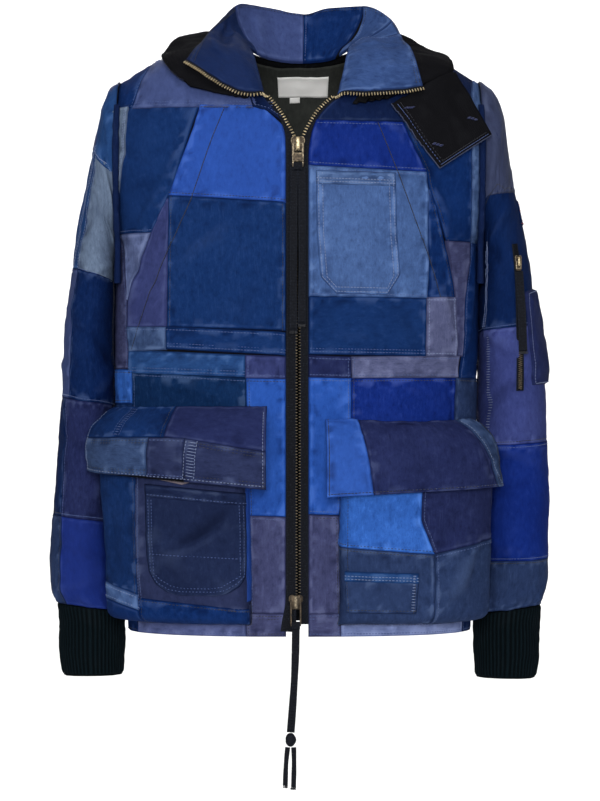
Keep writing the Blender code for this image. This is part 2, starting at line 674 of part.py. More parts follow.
def slider(name, empty, wide, tall, arch_wide, inner, outer):
    """A wedge-shaped plate on the tape with an arch over the pull's bar."""
    half_outline = [(wide * 0.6, -tall), (wide, tall * 0.1), (wide, tall * 0.75), (wide * 0.7, tall)]
    outline = half_outline + [(-x, z) for x, z in reversed(half_outline)]
    plate = prism(name, outline, *PLATE_OUT, lambda a, b, d: (a, PIVOT_OUT - d, b), "brass", empty)
    under, over = ARCH_OUT
    foot = PLATE_OUT[1] - 0.0004
    profile_of_arch = [(foot, outer), (over, outer), (over, -outer), (foot, -outer),
                       (foot, -inner), (under, -inner), (under, inner), (foot, inner)]
    arch = prism(name + "_arch", profile_of_arch, -arch_wide, arch_wide,
                 lambda a, b, d: (d, PIVOT_OUT - a, b), "brass", empty)
    arch.hide_render = True
    arch.display_type = "WIRE"
    joined = plate.modifiers.new("arch", "BOOLEAN")
    joined.operation = "UNION"
    joined.object = arch
    return plate


def pull(name, empty, length, wide, window_wide, window_length):
    """A flat tab with a window. Its top bar lies under the arch, on the axis."""
    half = PULL_HALF_THICK
    outer = [(-wide, half), (wide, half), (wide * 0.9, -length), (-wide * 0.9, -length)]
    window = [(-window_wide, -half), (window_wide, -half),
              (window_wide, -window_length), (-window_wide, -window_length)]
    points = [(x, y, z) for y in (-half, half) for x, z in outer + window]
    faces = []
    for k in range(4):
        n = (k + 1) % 4
        faces.append((k, n, 4 + n, 4 + k))
        faces.append((8 + k, 12 + k, 12 + n, 8 + n))
        faces.append((k, 8 + k, 8 + n, n))
        faces.append((4 + k, 4 + n, 12 + n, 12 + k))
    return add(name, points, faces, "brass", empty, smooth=False)


def slider_with_pull(where, place, yaw, slider_size, pull_size):
    """The slider and its pull hang from one empty, which lies on the pull's axis."""
    empty = bpy.data.objects.new("axis_" + where, None)
    empty.location = place
    empty.rotation_euler = (0, 0, yaw)
    bpy.context.scene.collection.objects.link(empty)
    slider("slider_" + where, empty, *slider_size)
    pull("pull_" + where, empty, *pull_size)
    return empty


def ribbon(name, start, end, width, sway=(0.0, 0.0)):
    """A flat ribbon that hangs from start to end with a little sway across and outward."""
    shares = np.linspace(0, 1, CORD_STEPS)[:, None]
    points = np.array(start) * (1 - shares) + np.array(end) * shares
    points[:, 0] += sway[0] * np.sin(math.pi * shares[:, 0]) * (1 - 0.4 * shares[:, 0])
    points[:, 1] += sway[1] * np.sin(2 * math.pi * shares[:, 0])
    bar(name, points, (1, 0, 0), (0, -1, 0), width, RIBBON_THICK, "black")


def front_zip(right, left):
    zip_tape(-1, right)
    zip_tape(1, left)
    ends = {}
    for where, x, z, size in (
        ("upper", ZIP_X, UPPER_SLIDER_Z, UPPER_PULL),
        ("lower", LOWER_SLIDER_X, LOWER_SLIDER_Z, LOWER_PULL),
    ):
        tape = body_point(-1, -1, turn_at(-1, 0.003, z), z)[1] - TAPE_THICK / 2 - 0.0002
        slider_with_pull(where, (x, tape - PIVOT_OUT, z), 0.0, SLIDER_SIZE, size)
        ends[where] = np.array([x, tape - PIVOT_OUT, z - size[0] - GAP])
    top = ends["upper"]
    half = 0.0037
    ends_at = (-0.0055, -0.0052, -0.176)
    ribbon("ribbon_upper_a", top + (-half, 0, 0), top + ends_at, 0.0066, (-0.0006, 0.0002))
    ends_at = (0.0042, -0.0050, -0.169)
    ribbon("ribbon_upper_b", top + (half, 0, 0), top + ends_at, 0.0066, (0.0008, 0.0002))
    top = ends["lower"]
    knot = top + np.array([-0.0055, 0.0005, -0.1215])
    ribbon("ribbon_lower", top, knot + (0, 0, KNOT[2] + GAP), 0.0085, (0.0015, 0.001))
    mesh = bpy.data.meshes.new("knot_lower")
    round_form = bmesh.new()
    bmesh.ops.create_uvsphere(round_form, u_segments=10, v_segments=6, radius=1.0)
    bmesh.ops.scale(round_form, vec=KNOT, verts=round_form.verts)
    round_form.to_mesh(mesh)
    round_form.free()
    mesh.materials.append(material("black"))
    made = bpy.data.objects.new("knot_lower", mesh)
    made.location = knot
    bpy.context.scene.collection.objects.link(made)
    below = knot - (0, 0, KNOT[2] + GAP)
    half = 0.0032
    ends_at = (-0.0058, -0.001, -0.041)
    ribbon("ribbon_end_a", below + (-half, 0, 0), below + ends_at, 0.0055, (-0.0008, 0.001))
    ends_at = (0.0030, 0.001, -0.043)
    ribbon("ribbon_end_b", below + (half, 0, 0), below + ends_at, 0.0055, (0.0006, -0.001))


def sleeve_zip(sleeve):
    """A small pocket that stands off the left sleeve, with a slanting zip in front of it."""
    cols = lines(-0.6, 2.7, (-0.35, 2.45))
    rows = lines(5.4, 6.8, (5.55, 6.65))
    across, upward = profile(len(cols), (0.0, 0.7)), profile(len(rows), (0.0, 0.7))
    seat = GAP + PATCH
    pocket = sewn_on(sleeve, cols, rows, lambda i, j: seat + SLEEVE_POCKET_RISE * across[i] * upward[j])
    shell("sleeve_pocket", pocket, PATCH, "purple")
    shares = np.linspace(0, 1, 9)
    cols, rows = 3.12 + 0.62 * shares, 4.58 + 2.27 * shares
    points = np.array([sleeve.spot(col, row, seat) for col, row in zip(cols, rows)])
    outward = np.array([sleeve.spot(col, row, seat + 1) for col, row in zip(cols, rows)]) - points
    across = np.cross(np.gradient(points, axis=0), outward)
    across /= np.linalg.norm(across, axis=1, keepdims=True)
    bar("sleeve_zip_tape", points, across, outward, 0.0085, PATCH, "black")
    place = sleeve.spot(3.2, 4.86, seat + PATCH / 2 + PIVOT_OUT + 0.0008)
    slider_with_pull("sleeve", place, math.radians(SLEEVE_YAW), SLEEVE_SLIDER_SIZE, SLEEVE_PULL)
    start = place - (0, 0, SLEEVE_PULL[0] + GAP)
    ribbon("sleeve_ribbon", start, start + (0.0045, -0.004, -0.088), 0.0055, (0.001, 0.0005))


def main():
    clear_scene()
    right, left, back = body_pieces()
    left_sleeve = sleeve_pieces()
    collar_pieces()
    lining_pieces(right, left, back)
    chest_pocket(left)
    for side, panel in ((-1, right), (1, left)):
        cargo_pocket(side, panel)
    front_zip(right, left)
    sleeve_zip(left_sleeve)


main()
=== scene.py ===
"""Looks of a patched work jacket, filled out as when it is worn.

Every length is in metres, apart from the tables of patches, seams and folds, which are in millimetres.
Each piece of cloth is a function that turns (across, up) into a place. A patch is a small slab of cloth
on that function, cut by its own corners, and folds and rumples move all that lies on the piece alike.
"""

import math

import bpy
import mathutils
import numpy as np
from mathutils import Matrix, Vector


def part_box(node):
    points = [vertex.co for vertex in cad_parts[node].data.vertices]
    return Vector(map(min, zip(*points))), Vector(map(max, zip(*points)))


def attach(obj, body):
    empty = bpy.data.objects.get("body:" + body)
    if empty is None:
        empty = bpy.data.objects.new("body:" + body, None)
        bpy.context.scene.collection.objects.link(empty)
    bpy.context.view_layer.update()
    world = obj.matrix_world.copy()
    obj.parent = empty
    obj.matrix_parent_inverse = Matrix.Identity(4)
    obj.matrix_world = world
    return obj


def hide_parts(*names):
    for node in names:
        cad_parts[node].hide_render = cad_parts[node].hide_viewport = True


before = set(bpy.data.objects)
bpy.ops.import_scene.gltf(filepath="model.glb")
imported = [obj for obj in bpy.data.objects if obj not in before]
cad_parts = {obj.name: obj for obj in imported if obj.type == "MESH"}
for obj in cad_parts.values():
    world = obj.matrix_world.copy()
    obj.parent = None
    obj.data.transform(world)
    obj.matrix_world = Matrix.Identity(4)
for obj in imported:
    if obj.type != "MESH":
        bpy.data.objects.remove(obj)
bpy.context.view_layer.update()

CELL = 0.0038      # size of a patch's mesh cells
MM = 0.001

# ---- sizes of the solids ----

CLOTH = 0.0018          # jacket cloth with what backs it
PATCH = 0.0012          # one layer sewn on top
KNIT = 0.0030           # rib knit and wool
GAP = 0.0005            # between pieces that are sewn together
HEM = -0.6355
ARM_X = 0.200           # distance of each armhole from the middle
ARM_MIDDLE = -0.1165
ARM_HALF_HEIGHT = 0.0885
ARM_HALF_DEPTH = 0.068
ARM_ROUNDNESS = 0.72    # 0.5 would make the armhole an ellipse; more draws its ends to a point
CROWN = 0.105           # how far below the shoulder seam the chest is at full depth
SHOULDER_FADE = 0.200   # how far down the slope of the shoulders still shows
SQUARENESS = 2.5        # of the body's rounded sides
SLEEVE_SQUARENESS = 2.3
SEAM = 0.0012           # between the fronts and the back
NECK_HALF = 0.060
NECK_BACK_DROP = 0.012

TAB_BULGE = 0.006       # of the throat tab, forward between its two sides
TAB_OUT = 0.0110        # least distance of the throat tab's seen face from the body
SLEEVE_POCKET_RISE = 0.0045
POCKET_DEPTH = 0.027    # that a cargo pocket stands off the body
FLAP_RISE = 0.035       # that a flap's lower edge stands off it
NAME = {-1: "right", 1: "left"}     # of a side, as the wearer calls it


def table(names, *rows):
    """Rows of numbers under named columns. The first column is the one they are read by."""
    return {"names": names.split(), "rows": np.array(rows, float)}


BODY = table(
    "height right left front back",
    (-0.6355, 0.189, 0.189, 0.121, 0.112),
    (-0.550, 0.193, 0.192, 0.123, 0.108),
    (-0.450, 0.200, 0.195, 0.124, 0.106),
    (-0.360, 0.2045, 0.197, 0.124, 0.106),
    (-0.290, 0.204, 0.199, 0.123, 0.110),
    (-0.200, 0.200, 0.200, 0.122, 0.114),
    (-0.100, 0.200, 0.200, 0.119, 0.112),
    (0.000, 0.200, 0.200, 0.116, 0.106),
)

SHOULDER = table(
    "out height",
    (0.000, 0.016),
    (0.060, 0.011),
    (0.150, -0.001),
    (0.200, -0.028),
)

# how far from the middle each front ends, from the closed zip up to the side of the neck
FRONT_EDGE = table(
    "height right left",
    (-0.6355, 0.0145, 0.0105),
    (-0.120, 0.0145, 0.0105),
    (-0.105, 0.0150, 0.0125),
    (-0.0895, 0.0190, 0.0175),
    (-0.073, 0.0300, 0.0300),
    (-0.062, 0.0390, 0.0430),
    (-0.045, 0.0470, 0.0520),
    (-0.025, 0.0530, 0.0580),
    (0.000, 0.0580, 0.0620),
)

SLEEVE_RIGHT = table(
    "step out_x out_z in_x in_z middle depth",
    (0, 0.2006, -0.0250, 0.2006, -0.2075, 0.000, 0.0710),
    (1, 0.2110, -0.0340, 0.2030, -0.2110, 0.001, 0.0730),
    (2, 0.2190, -0.0620, 0.2036, -0.2160, 0.002, 0.0745),
    (3, 0.2280, -0.0980, 0.2042, -0.2220, 0.003, 0.0760),
    (4, 0.2410, -0.1570, 0.2062, -0.2350, 0.005, 0.0770),
    (5, 0.2530, -0.2300, 0.2058, -0.2620, 0.009, 0.0760),
    (6, 0.2615, -0.3020, 0.2065, -0.3160, 0.014, 0.0740),
    (7, 0.2660, -0.3730, 0.2065, -0.3840, 0.026, 0.0670),
    (8, 0.2725, -0.4480, 0.2070, -0.4520, 0.034, 0.0600),
    (9, 0.2765, -0.5050, 0.2080, -0.5100, 0.037, 0.0570),
    (10, 0.2795, -0.5600, 0.2060, -0.5660, 0.037, 0.0530),
    (11, 0.2790, -0.5900, 0.2010, -0.6000, 0.036, 0.0470),
    (12, 0.2740, -0.6070, 0.1965, -0.6170, 0.036, 0.0370),
)
SLEEVE_LEFT = table(
    "step out_x out_z in_x in_z middle depth",
    (0, 0.2006, -0.0250, 0.2006, -0.2075, 0.000, 0.0710),
    (1, 0.2140, -0.0360, 0.2030, -0.2110, 0.001, 0.0730),
    (2, 0.2245, -0.0580, 0.2034, -0.2160, 0.002, 0.0745),
    (3, 0.2310, -0.0980, 0.2036, -0.2220, 0.003, 0.0760),
    (4, 0.2400, -0.1500, 0.2038, -0.2350, 0.005, 0.0770),
    (5, 0.2560, -0.2250, 0.2022, -0.2620, 0.009, 0.0760),
    (6, 0.2670, -0.3020, 0.2012, -0.3160, 0.014, 0.0740),
    (7, 0.2765, -0.3780, 0.2005, -0.3840, 0.022, 0.0680),
    (8, 0.2795, -0.4480, 0.2020, -0.4520, 0.032, 0.0620),
    (9, 0.2805, -0.5100, 0.2050, -0.5140, 0.036, 0.0580),
    (10, 0.2805, -0.5650, 0.2050, -0.5700, 0.037, 0.0540),
    (11, 0.2780, -0.5900, 0.2010, -0.6030, 0.036, 0.0470),
    (12, 0.2720, -0.6100, 0.1975, -0.6200, 0.036, 0.0370),
)
CUFF = table(
    "step out_x out_z in_x in_z middle depth",
    (0, 0.2735, -0.6078, 0.1970, -0.6178, 0.036, 0.0370),
    (1, 0.2700, -0.6320, 0.1978, -0.6370, 0.036, 0.0345),
    (2, 0.2695, -0.6620, 0.1985, -0.6630, 0.036, 0.0335),
    (3, 0.2670, -0.6900, 0.1990, -0.6890, 0.036, 0.0330),
)
CUFF_LEFT_DROP = 0.003  # the left sleeve ends that much lower

# the standing collar, from its right front end (-X) round the back of the neck to its left end
COLLAR = table(
    "station low_x low_y low_z mid_x mid_y mid_z top_x top_y top_z",
    (0, -0.0380, -0.1105, -0.0480, -0.0714, -0.1160, -0.0440, -0.1230, -0.0780, -0.0095),
    (1, -0.0500, -0.0590, -0.0005, -0.0850, -0.0600, 0.0110, -0.1041, -0.0350, 0.0202),
    (2, -0.0545, 0.0030, 0.0130, -0.0740, 0.0080, 0.0320, -0.0830, 0.0100, 0.0511),
    (3, -0.0388, 0.0305, 0.0066, -0.0570, 0.0440, 0.0420, -0.0625, 0.0500, 0.0701),
    (4, -0.0210, 0.0410, 0.0040, -0.0290, 0.0600, 0.0400, -0.0332, 0.0750, 0.0685),
    (5, 0.0040, 0.0440, 0.0030, 0.0046, 0.0650, 0.0380, 0.0046, 0.0850, 0.0630),
    (6, 0.0270, 0.0390, 0.0042, 0.0330, 0.0600, 0.0400, 0.0356, 0.0780, 0.0689),
    (7, 0.0400, 0.0296, 0.0066, 0.0640, 0.0400, 0.0380, 0.0728, 0.0500, 0.0674),
    (8, 0.0555, 0.0030, 0.0135, 0.0870, 0.0020, 0.0300, 0.1040, 0.0100, 0.0460),
    (9, 0.0525, -0.0590, -0.0005, 0.0930, -0.0640, 0.0030, 0.1206, -0.0400, 0.0008),
    (10, 0.0420, -0.1110, -0.0500, 0.0877, -0.1180, -0.0460, 0.1340, -0.1020, -0.0415),
)
COLLAR_OUT = 0.0150             # least distance of the seen face from the body
OUTER_COLLAR_OUT = 0.0092

# the black collar that lies outside it
OUTER_COLLAR = table(
    "station low_x low_y low_z mid_x mid_y mid_z top_x top_y top_z",
    (0, -0.0530, -0.1112, -0.0520, -0.0691, -0.1115, -0.0530, -0.1184, -0.0985, -0.0410),
    (1, -0.0710, -0.0780, -0.0250, -0.0950, -0.0830, -0.0210, -0.1393, -0.0780, -0.0221),
    (2, -0.0750, -0.0320, 0.0040, -0.1060, -0.0300, 0.0080, -0.1531, -0.0280, 0.0000),
    (3, -0.0720, 0.0120, 0.0150, -0.1000, 0.0140, 0.0200, -0.1472, 0.0120, 0.0169),
    (4, -0.0520, 0.0430, 0.0190, -0.0780, 0.0560, 0.0330, -0.1331, 0.0500, 0.0344),
    (5, -0.0280, 0.0560, 0.0160, -0.0460, 0.0780, 0.0350, -0.1000, 0.0850, 0.0440),
    (6, 0.0040, 0.0600, 0.0150, 0.0046, 0.0860, 0.0330, 0.0046, 0.1150, 0.0500),
    (7, 0.0320, 0.0560, 0.0160, 0.0520, 0.0780, 0.0330, 0.1060, 0.0850, 0.0420),
    (8, 0.0570, 0.0430, 0.0180, 0.0880, 0.0500, 0.0280, 0.1427, 0.0400, 0.0195),
    (9, 0.0780, 0.0060, 0.0140, 0.1100, 0.0020, 0.0100, 0.1680, -0.0060, 0.0020),
    (10, 0.0820, -0.0450, -0.0100, 0.1180, -0.0500, -0.0180, 0.1706, -0.0520, -0.0160),
    (11, 0.0760, -0.0950, -0.0400, 0.1020, -0.1020, -0.0400, 0.1400, -0.0880, -0.0380),
    (12, 0.0580, -0.1145, -0.0620, 0.0760, -0.1155, -0.0580, 0.0985, -0.1120, -0.0530),
)

# the long tab at its left end, from the collar down to the free end
THROAT_TAB = table(
    "row left_x left_y left_z right_x right_y right_z",
    (0, 0.0995, -0.1120, -0.0632, 0.1721, -0.0560, -0.0282),
    (1, 0.1110, -0.1200, -0.0766, 0.1820, -0.0760, -0.0400),
    (2, 0.1304, -0.1220, -0.1039, 0.1925, -0.0850, -0.0600),
    (3, 0.1520, -0.1200, -0.1307, 0.2098, -0.0900, -0.0923),
)

# ---- tables as smooth curves ----

def column(of, name):
    """One column of a table."""
    return of["rows"][:, of["names"].index(name)]


def read(of, name, at):
    """A smooth curve through one column of a table, which never swings past its rows."""
    x = column(of, of["names"][0])
    y = column(of, name)
    rate = np.diff(y) / np.diff(x)
    product = rate[1:] * rate[:-1]
    total = np.where(product > 0, rate[1:] + rate[:-1], 1)
    slope = np.concatenate([rate[:1], np.where(product > 0, 2 * product / total, 0), rate[-1:]])
    at = np.clip(at, x[0], x[-1])
    k = np.clip(np.searchsorted(x, at, side="right") - 1, 0, len(x) - 2)
    step = x[k + 1] - x[k]
    t = (at - x[k]) / step
    low = y[k] * (1 + 2 * t) + slope[k] * step * t
    high = y[k + 1] * (3 - 2 * t) + slope[k + 1] * step * (t - 1)
    return low * (1 - t) ** 2 + high * t * t


def read_point(of, name, at):
    return np.stack([read(of, f"{name}_{axis}", at) for axis in "xyz"], -1)


def between_rims(of, stations_of, rows):
    """A grid from a collar's lower rim to its upper one, bowed through the middle that its table gives."""
    low, middle, top = [read_point(of, name, stations_of) for name in ("low", "mid", "top")]
    bend = 2 * middle - (low + top) / 2
    level = np.linspace(0, 1, rows)[:, None, None]
    return (1 - level) ** 2 * low + 2 * level * (1 - level) * bend + level ** 2 * top


# ---- the body: a rounded box whose top closes over the shoulders ----

def crown(height):
    """Share of its full depth that the chest has, from none at the shoulder seam."""
    return np.sqrt(1 - (1 - np.clip(-height / CROWN, 0, 1)) ** 2)


def shoulder_fade(height):
    """How much of the slope of the shoulders still shows."""
    t = np.clip(-height / SHOULDER_FADE, 0, 1)
    return 1 - t * t * (3 - 2 * t)


def arm_depth(height):
    """Half the depth of the armhole."""
    z = height + read(SHOULDER, "height", ARM_X) * shoulder_fade(height)
    round_part = 1 - ((z - ARM_MIDDLE) / ARM_HALF_HEIGHT) ** 2
    return ARM_HALF_DEPTH * np.clip(round_part, 0, 1) ** ARM_ROUNDNESS


def body_point(side, face, turn, height):
    """side -1 is the wearer's right, face -1 the front; turn runs from 0 at the side to a quarter turn."""
    half = read(BODY, NAME[side], height)
    depth = read(BODY, "front" if face < 0 else "back", height) * crown(height)
    start = arm_depth(height)
    x = half * np.cos(turn) ** (2 / SQUARENESS)
    y = start + (depth - start) * np.sin(turn) ** (2 / SQUARENESS) + SEAM / 2
    z = height + read(SHOULDER, "height", x) * shoulder_fade(height)
    return np.stack([side * x, face * y, z], -1)


def turn_at(side, x, height):
    """The turn at which the body is this far out."""
    half = read(BODY, NAME[side], height)
    return np.arccos(np.clip(np.abs(x) / half, 0, 1) ** (SQUARENESS / 2))




# ---- cloth as functions ----

NOMINAL_DEPTH = 0.095       # of the body, where lengths round its side are measured
FLAT_REACH = 0.140          # up to here a length across is simply the distance from the middle


def length_along(across, rise):
    """Lengths along a cross-section whose height changes."""
    return np.concatenate([[0], np.cumsum(np.hypot(np.diff(across), np.diff(rise)))])


def run_along(line):
    """The length from a line's start to each of its points."""
    return np.concatenate([[0], np.cumsum(np.linalg.norm(np.diff(line, axis=0), axis=1))])


def read_along(at, run, rows):
    """Rows of numbers, read at some lengths along them."""
    return np.stack([np.interp(at, run, rows[:, k]) for k in range(rows.shape[1])], -1)


def lengths_across():
    """Length of cloth from the middle of the body to its side, against the share of the half width."""
    turns = np.linspace(0, math.pi / 2, 500)
    x = ARM_X * np.cos(turns) ** (2 / SQUARENESS)
    y = NOMINAL_DEPTH * np.sin(turns) ** (2 / SQUARENESS)
    run = length_along(x, y)
    at_flat = np.interp(-FLAT_REACH, -x, run)
    length = np.where(x < FLAT_REACH, x, FLAT_REACH + at_flat - run)
    return length[::-1], x[::-1] / ARM_X


LENGTHS, SHARES = lengths_across()
SIDE = LENGTHS[-1]          # length across at the side seam
LATTICE = np.random.default_rng(11).uniform(-1, 1, (97, 97))


def body_place(side, face, across, height):
    """A place on the body, by the length of cloth across it."""
    share = np.interp(across, LENGTHS, SHARES)
    return body_point(side, face, np.arccos(share ** (SQUARENESS / 2)), height)


def soft(u, v, size, seed=0):
    """Smooth seeded bumps about this size, from -1 to 1."""
    x, y = u / size + 31.7 * seed, v / size + 13.3 * seed
    i, j = np.floor(x).astype(int), np.floor(y).astype(int)
    s, t = x - i, y - j
    s, t = s * s * (3 - 2 * s), t * t * (3 - 2 * t)
    i, j = i % 96, j % 96
    low = LATTICE[i, j] * (1 - s) + LATTICE[i + 1, j] * s
    high = LATTICE[i, j + 1] * (1 - s) + LATTICE[i + 1, j + 1] * s
    return low * (1 - t) + high * t


def unit(vectors):
    """The vectors, each made one long."""
    return vectors / np.maximum(np.linalg.norm(vectors, axis=-1, keepdims=True), 1e-12)


def fold_height(fold, u, v):
    """A soft ridge, or a trough where its height is under 0, along a bowed line."""
    u0, v0, u1, v1, half_width, height, bow = fold
    along = np.array([u1 - u0, v1 - v0])
    length = np.hypot(*along)
    along = along / length
    t = ((u - u0) * along[0] + (v - v0) * along[1]) / length
    off = (v - v0) * along[0] - (u - u0) * along[1] - bow * 4 * t * (1 - t)
    off = off + 0.35 * half_width * soft(u, v, 6 * half_width, 3)
    fade = np.sin(math.pi * np.clip(t, 0, 1)) ** 0.7
    steep = np.where(off > 0, 1.5, 0.8) / half_width        # one flank is steeper
    return height * fade * np.exp(-(off * steep) ** 2)


class Cloth:
    """A piece of cloth as a function of two lengths on it. Folds and rumples move all that lies on it."""

    def __init__(self, place, middle, inside, marks=None, folds=(), rumple=0.0010, seed=1,
                 fullness=1.6, turn=None):
        self.place = place
        self.marks = marks or (lambda x, y: (x, y))     # from a table's marks to lengths on the cloth
        self.facing = 1.0
        self.rumple = rumple
        self.seed = seed
        self.turn = turn            # length all the way round, on a tube
        self.folds = []
        probe, away = self.base(np.array([middle[0]]), np.array([middle[1]]))
        self.facing = math.copysign(1.0, np.sum(away * (probe - np.array(inside))))
        for x0, y0, x1, y1, half_width, height, bow in folds:
            start, end = self.mark(x0, y0), self.mark(x1, y1)
            self.folds.append((*start, *end, half_width * MM, height * MM * fullness, bow * MM))

    def mark(self, x, y):
        u, v = self.marks(np.array(float(x)), np.array(float(y)))
        return float(u), float(v)

    def base(self, u, v):
        step = 0.0004
        wide = self.place(u + step, v) - self.place(u - step, v)
        tall = self.place(u, v + step) - self.place(u, v - step)
        return self.place(u, v), unit(np.cross(wide, tall)) * self.facing

    def relief(self, u, v):
        if not self.turn:
            return self.creases(u, v)
        near = (u + 0.48 * self.turn) % self.turn - 0.48 * self.turn
        share = np.clip((near / self.turn - 0.42) / 0.10, 0, 1)     # both ends meet in here
        return self.creases(near, v) * (1 - share) + self.creases(near - self.turn, v) * share

    def creases(self, u, v):
        slant = 0.4 * soft(u, v, 0.11, self.seed + 3) * 0.05      # creases wander
        ridges = 0.4 - np.abs(soft(u + slant, v * 1.7, 0.027, self.seed + 1))
        fine = 0.4 - np.abs(soft(u * 1.5 + v * 0.6, v - slant, 0.014, self.seed + 4))
        rise = 0.62 * soft(u, v, 0.052, self.seed) + 0.50 * ridges + 0.30 * fine
        rise = 1.5 * self.rumple * (rise + 0.16 * soft(u, v, 0.0085, self.seed + 2))
        for fold in self.folds:
            rise = rise + fold_height(fold, u, v)
        return rise

    def at(self, u, v, out=0.0):
        u, v = np.asarray(u, float), np.asarray(v, float)
        point, away = self.base(u, v)
        return point + away * (self.relief(u, v) + out)[..., None]

    def line(self, *ends, steps=6):
        """A line through a row of marks, as lengths on the cloth."""
        ends = np.array(ends, float)
        share = np.linspace(0, len(ends) - 1, steps * (len(ends) - 1) + 1)
        return np.stack(self.marks(*read_along(share, range(len(ends)), ends).T), -1)


def stations(length, edges):
    """Shares from 0 to 1 at about one cell apart, with extra ones at small distances from both ends."""
    count = max(2, int(round(length / CELL)))
    found = list(np.linspace(0, 1, count + 1))
    near = [edge / length for edge in edges if edge < 0.45 * length]
    limit = (near[-1] if near else 0) + 0.35 / count
    found = [share for share in found if share in (0, 1) or limit < share < 1 - limit]
    return np.array(sorted(found + near + [1 - share for share in near]))


class Pile:
    """Grids gathered into one mesh, each with its dye, its wear and painted light and shade, and its finish.
    """

    def __init__(self):
        self.points, self.faces, self.finish = [], [], []
        self.dye, self.rub, self.cloth = [], [], []
        self.count = 0

    def grid(self, points, dye, finish=0, rub=0.0, cloth=None, ring=False, away=None):
        """Quads over a grid of points. away, if it is given, is the way that they should face."""
        rows, columns = points.shape[:2]
        if away is not None:
            across = np.diff(points, axis=1)[:-1]
            upward = np.diff(points, axis=0)[:, :-1]
            if np.sum(np.cross(across, upward) * away[:-1, :-1]) < 0:
                points = points[::-1]
                rub = rub[::-1] if isinstance(rub, np.ndarray) else rub
                cloth = None if cloth is None else cloth[::-1]
        index = self.count + np.arange(rows * columns).reshape(rows, columns)
        if ring:
            index = np.concatenate([index, index[:, :1]], axis=1)
        quads = np.stack([index[:-1, :-1], index[:-1, 1:], index[1:, 1:], index[1:, :-1]], -1)
        self.add(points.reshape(-1, 3), quads.reshape(-1, 4), dye, finish, rub, cloth)

    def add(self, points, quads, dye, finish=0, rub=0.0, cloth=None):
        """Loose quads. Their indices are already counted from this pile's own start."""
        many = len(points)
        self.points.append(points)
        self.faces.append(quads)
        self.finish.append(np.full(len(quads), finish))
        self.dye.append(np.broadcast_to(np.array([*dye, 1.0]), (many, 4)))
        self.rub.append(np.broadcast_to(np.asarray(rub, float).reshape(-1), (many,)))
        self.cloth.append(np.zeros((many, 2)) if cloth is None else cloth.reshape(-1, 2))
        self.count += many

    def make(self, name, finishes, slot, body="root", weld=False):
        """The gathered mesh as one piece, with grids that touch joined up if weld is set."""
        mesh = bpy.data.meshes.new(name)
        points, quads = np.concatenate(self.points), np.concatenate(self.faces)
        dye, rub = np.concatenate(self.dye), np.concatenate(self.rub)
        flat = np.concatenate(self.cloth)[quads.ravel()]
        if weld:
            near = np.round(points / 1e-6).astype(np.int64)
            _, kept, index = np.unique(near, axis=0, return_index=True, return_inverse=True)
            points, dye, rub, quads = points[kept], dye[kept], rub[kept], index.reshape(-1)[quads]
        mesh.vertices.add(len(points))
        mesh.vertices.foreach_set("co", points.astype(np.float32).ravel())
        mesh.loops.add(quads.size)
        mesh.loops.foreach_set("vertex_index", quads.astype(np.int32).ravel())
        mesh.polygons.add(len(quads))
        mesh.polygons.foreach_set("loop_start", np.arange(0, quads.size, 4, dtype=np.int32))
        mesh.polygons.foreach_set("material_index", np.concatenate(self.finish).astype(np.int32))
        mesh.update(calc_edges=True)
        mesh.shade_smooth()
        mesh.attributes.new("dye", "FLOAT_COLOR", "POINT").data.foreach_set(
            "color", dye.astype(np.float32).ravel())
        # one value per point for real wear together with painted light and shade
        mesh.attributes.new("rub", "FLOAT", "POINT").data.foreach_set("value", rub.astype(np.float32))
        layer = mesh.uv_layers.new(name="cloth")
        layer.data.foreach_set("uv", flat.astype(np.float32).ravel())
        for finish in finishes:
            mesh.materials.append(finish)
        made = bpy.data.objects.new(name, mesh)
        bpy.context.scene.collection.objects.link(made)
        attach(made, body)
        return made


# ---- what is sewn ----

EDGE_LINES = (0.0006, 0.0016, 0.0030, 0.0056)
SPREAD = 0.0006         # that a patch reaches past its marks on every side
THIN = 0.002            # a patch narrower than this is left to its neighbours
DIP = 0.0011            # how far a patch's cut edge sinks below the ground
LAYER = 0.0006          # what each patch that lies over others adds
GROUND_DROP = 0.0007    # of the cloth under the patches
DOUBLE_ROW = 0.0032     # between the two rows of a double seam
PROBE = 0.0006          # over which a stitch's way on the cloth is measured


def lift_of(layer):
    """How far a patch lies over the ground, by the layer that it is sewn on in."""
    return 0.0003 + LAYER * (layer + 0.5)


def edge_rise(distance, lift, sewn):
    """Height of a patch near its edge: it rounds over, is drawn down by its seam, then lies flat."""
    marks = (0.0, *EDGE_LINES)
    drawn = lift - (0.00042 if sewn else 0.0001)
    return np.interp(distance, marks, (-DIP, 0.7 * lift, lift + 0.0001, drawn, lift))


def length_of(line):
    """The whole length of a line."""
    return np.linalg.norm(np.diff(line, axis=0), axis=1).sum()


def at_shares(line, shares):
    """Points at shares of a line's length, and straight on past its ends."""
    run = run_along(line)
    at = shares.ravel() * run[-1]
    before, after = np.minimum(at, 0)[:, None], np.maximum(at - run[-1], 0)[:, None]
    return read_along(at, run, line) + before * unit(line[3] - line[0]) + after * unit(line[-1] - line[-4])


def edges_of(cloth, rows, steps=6):
    """The left, right, top and bottom edges of rows of marks, as lines on the cloth."""
    sides = [cloth.line(*[row[k:k + 2] for row in rows], steps=steps) for k in (0, 2)]
    return *sides, *[cloth.line(row[:2], row[2:], steps=steps) for row in (rows[0], rows[-1])]


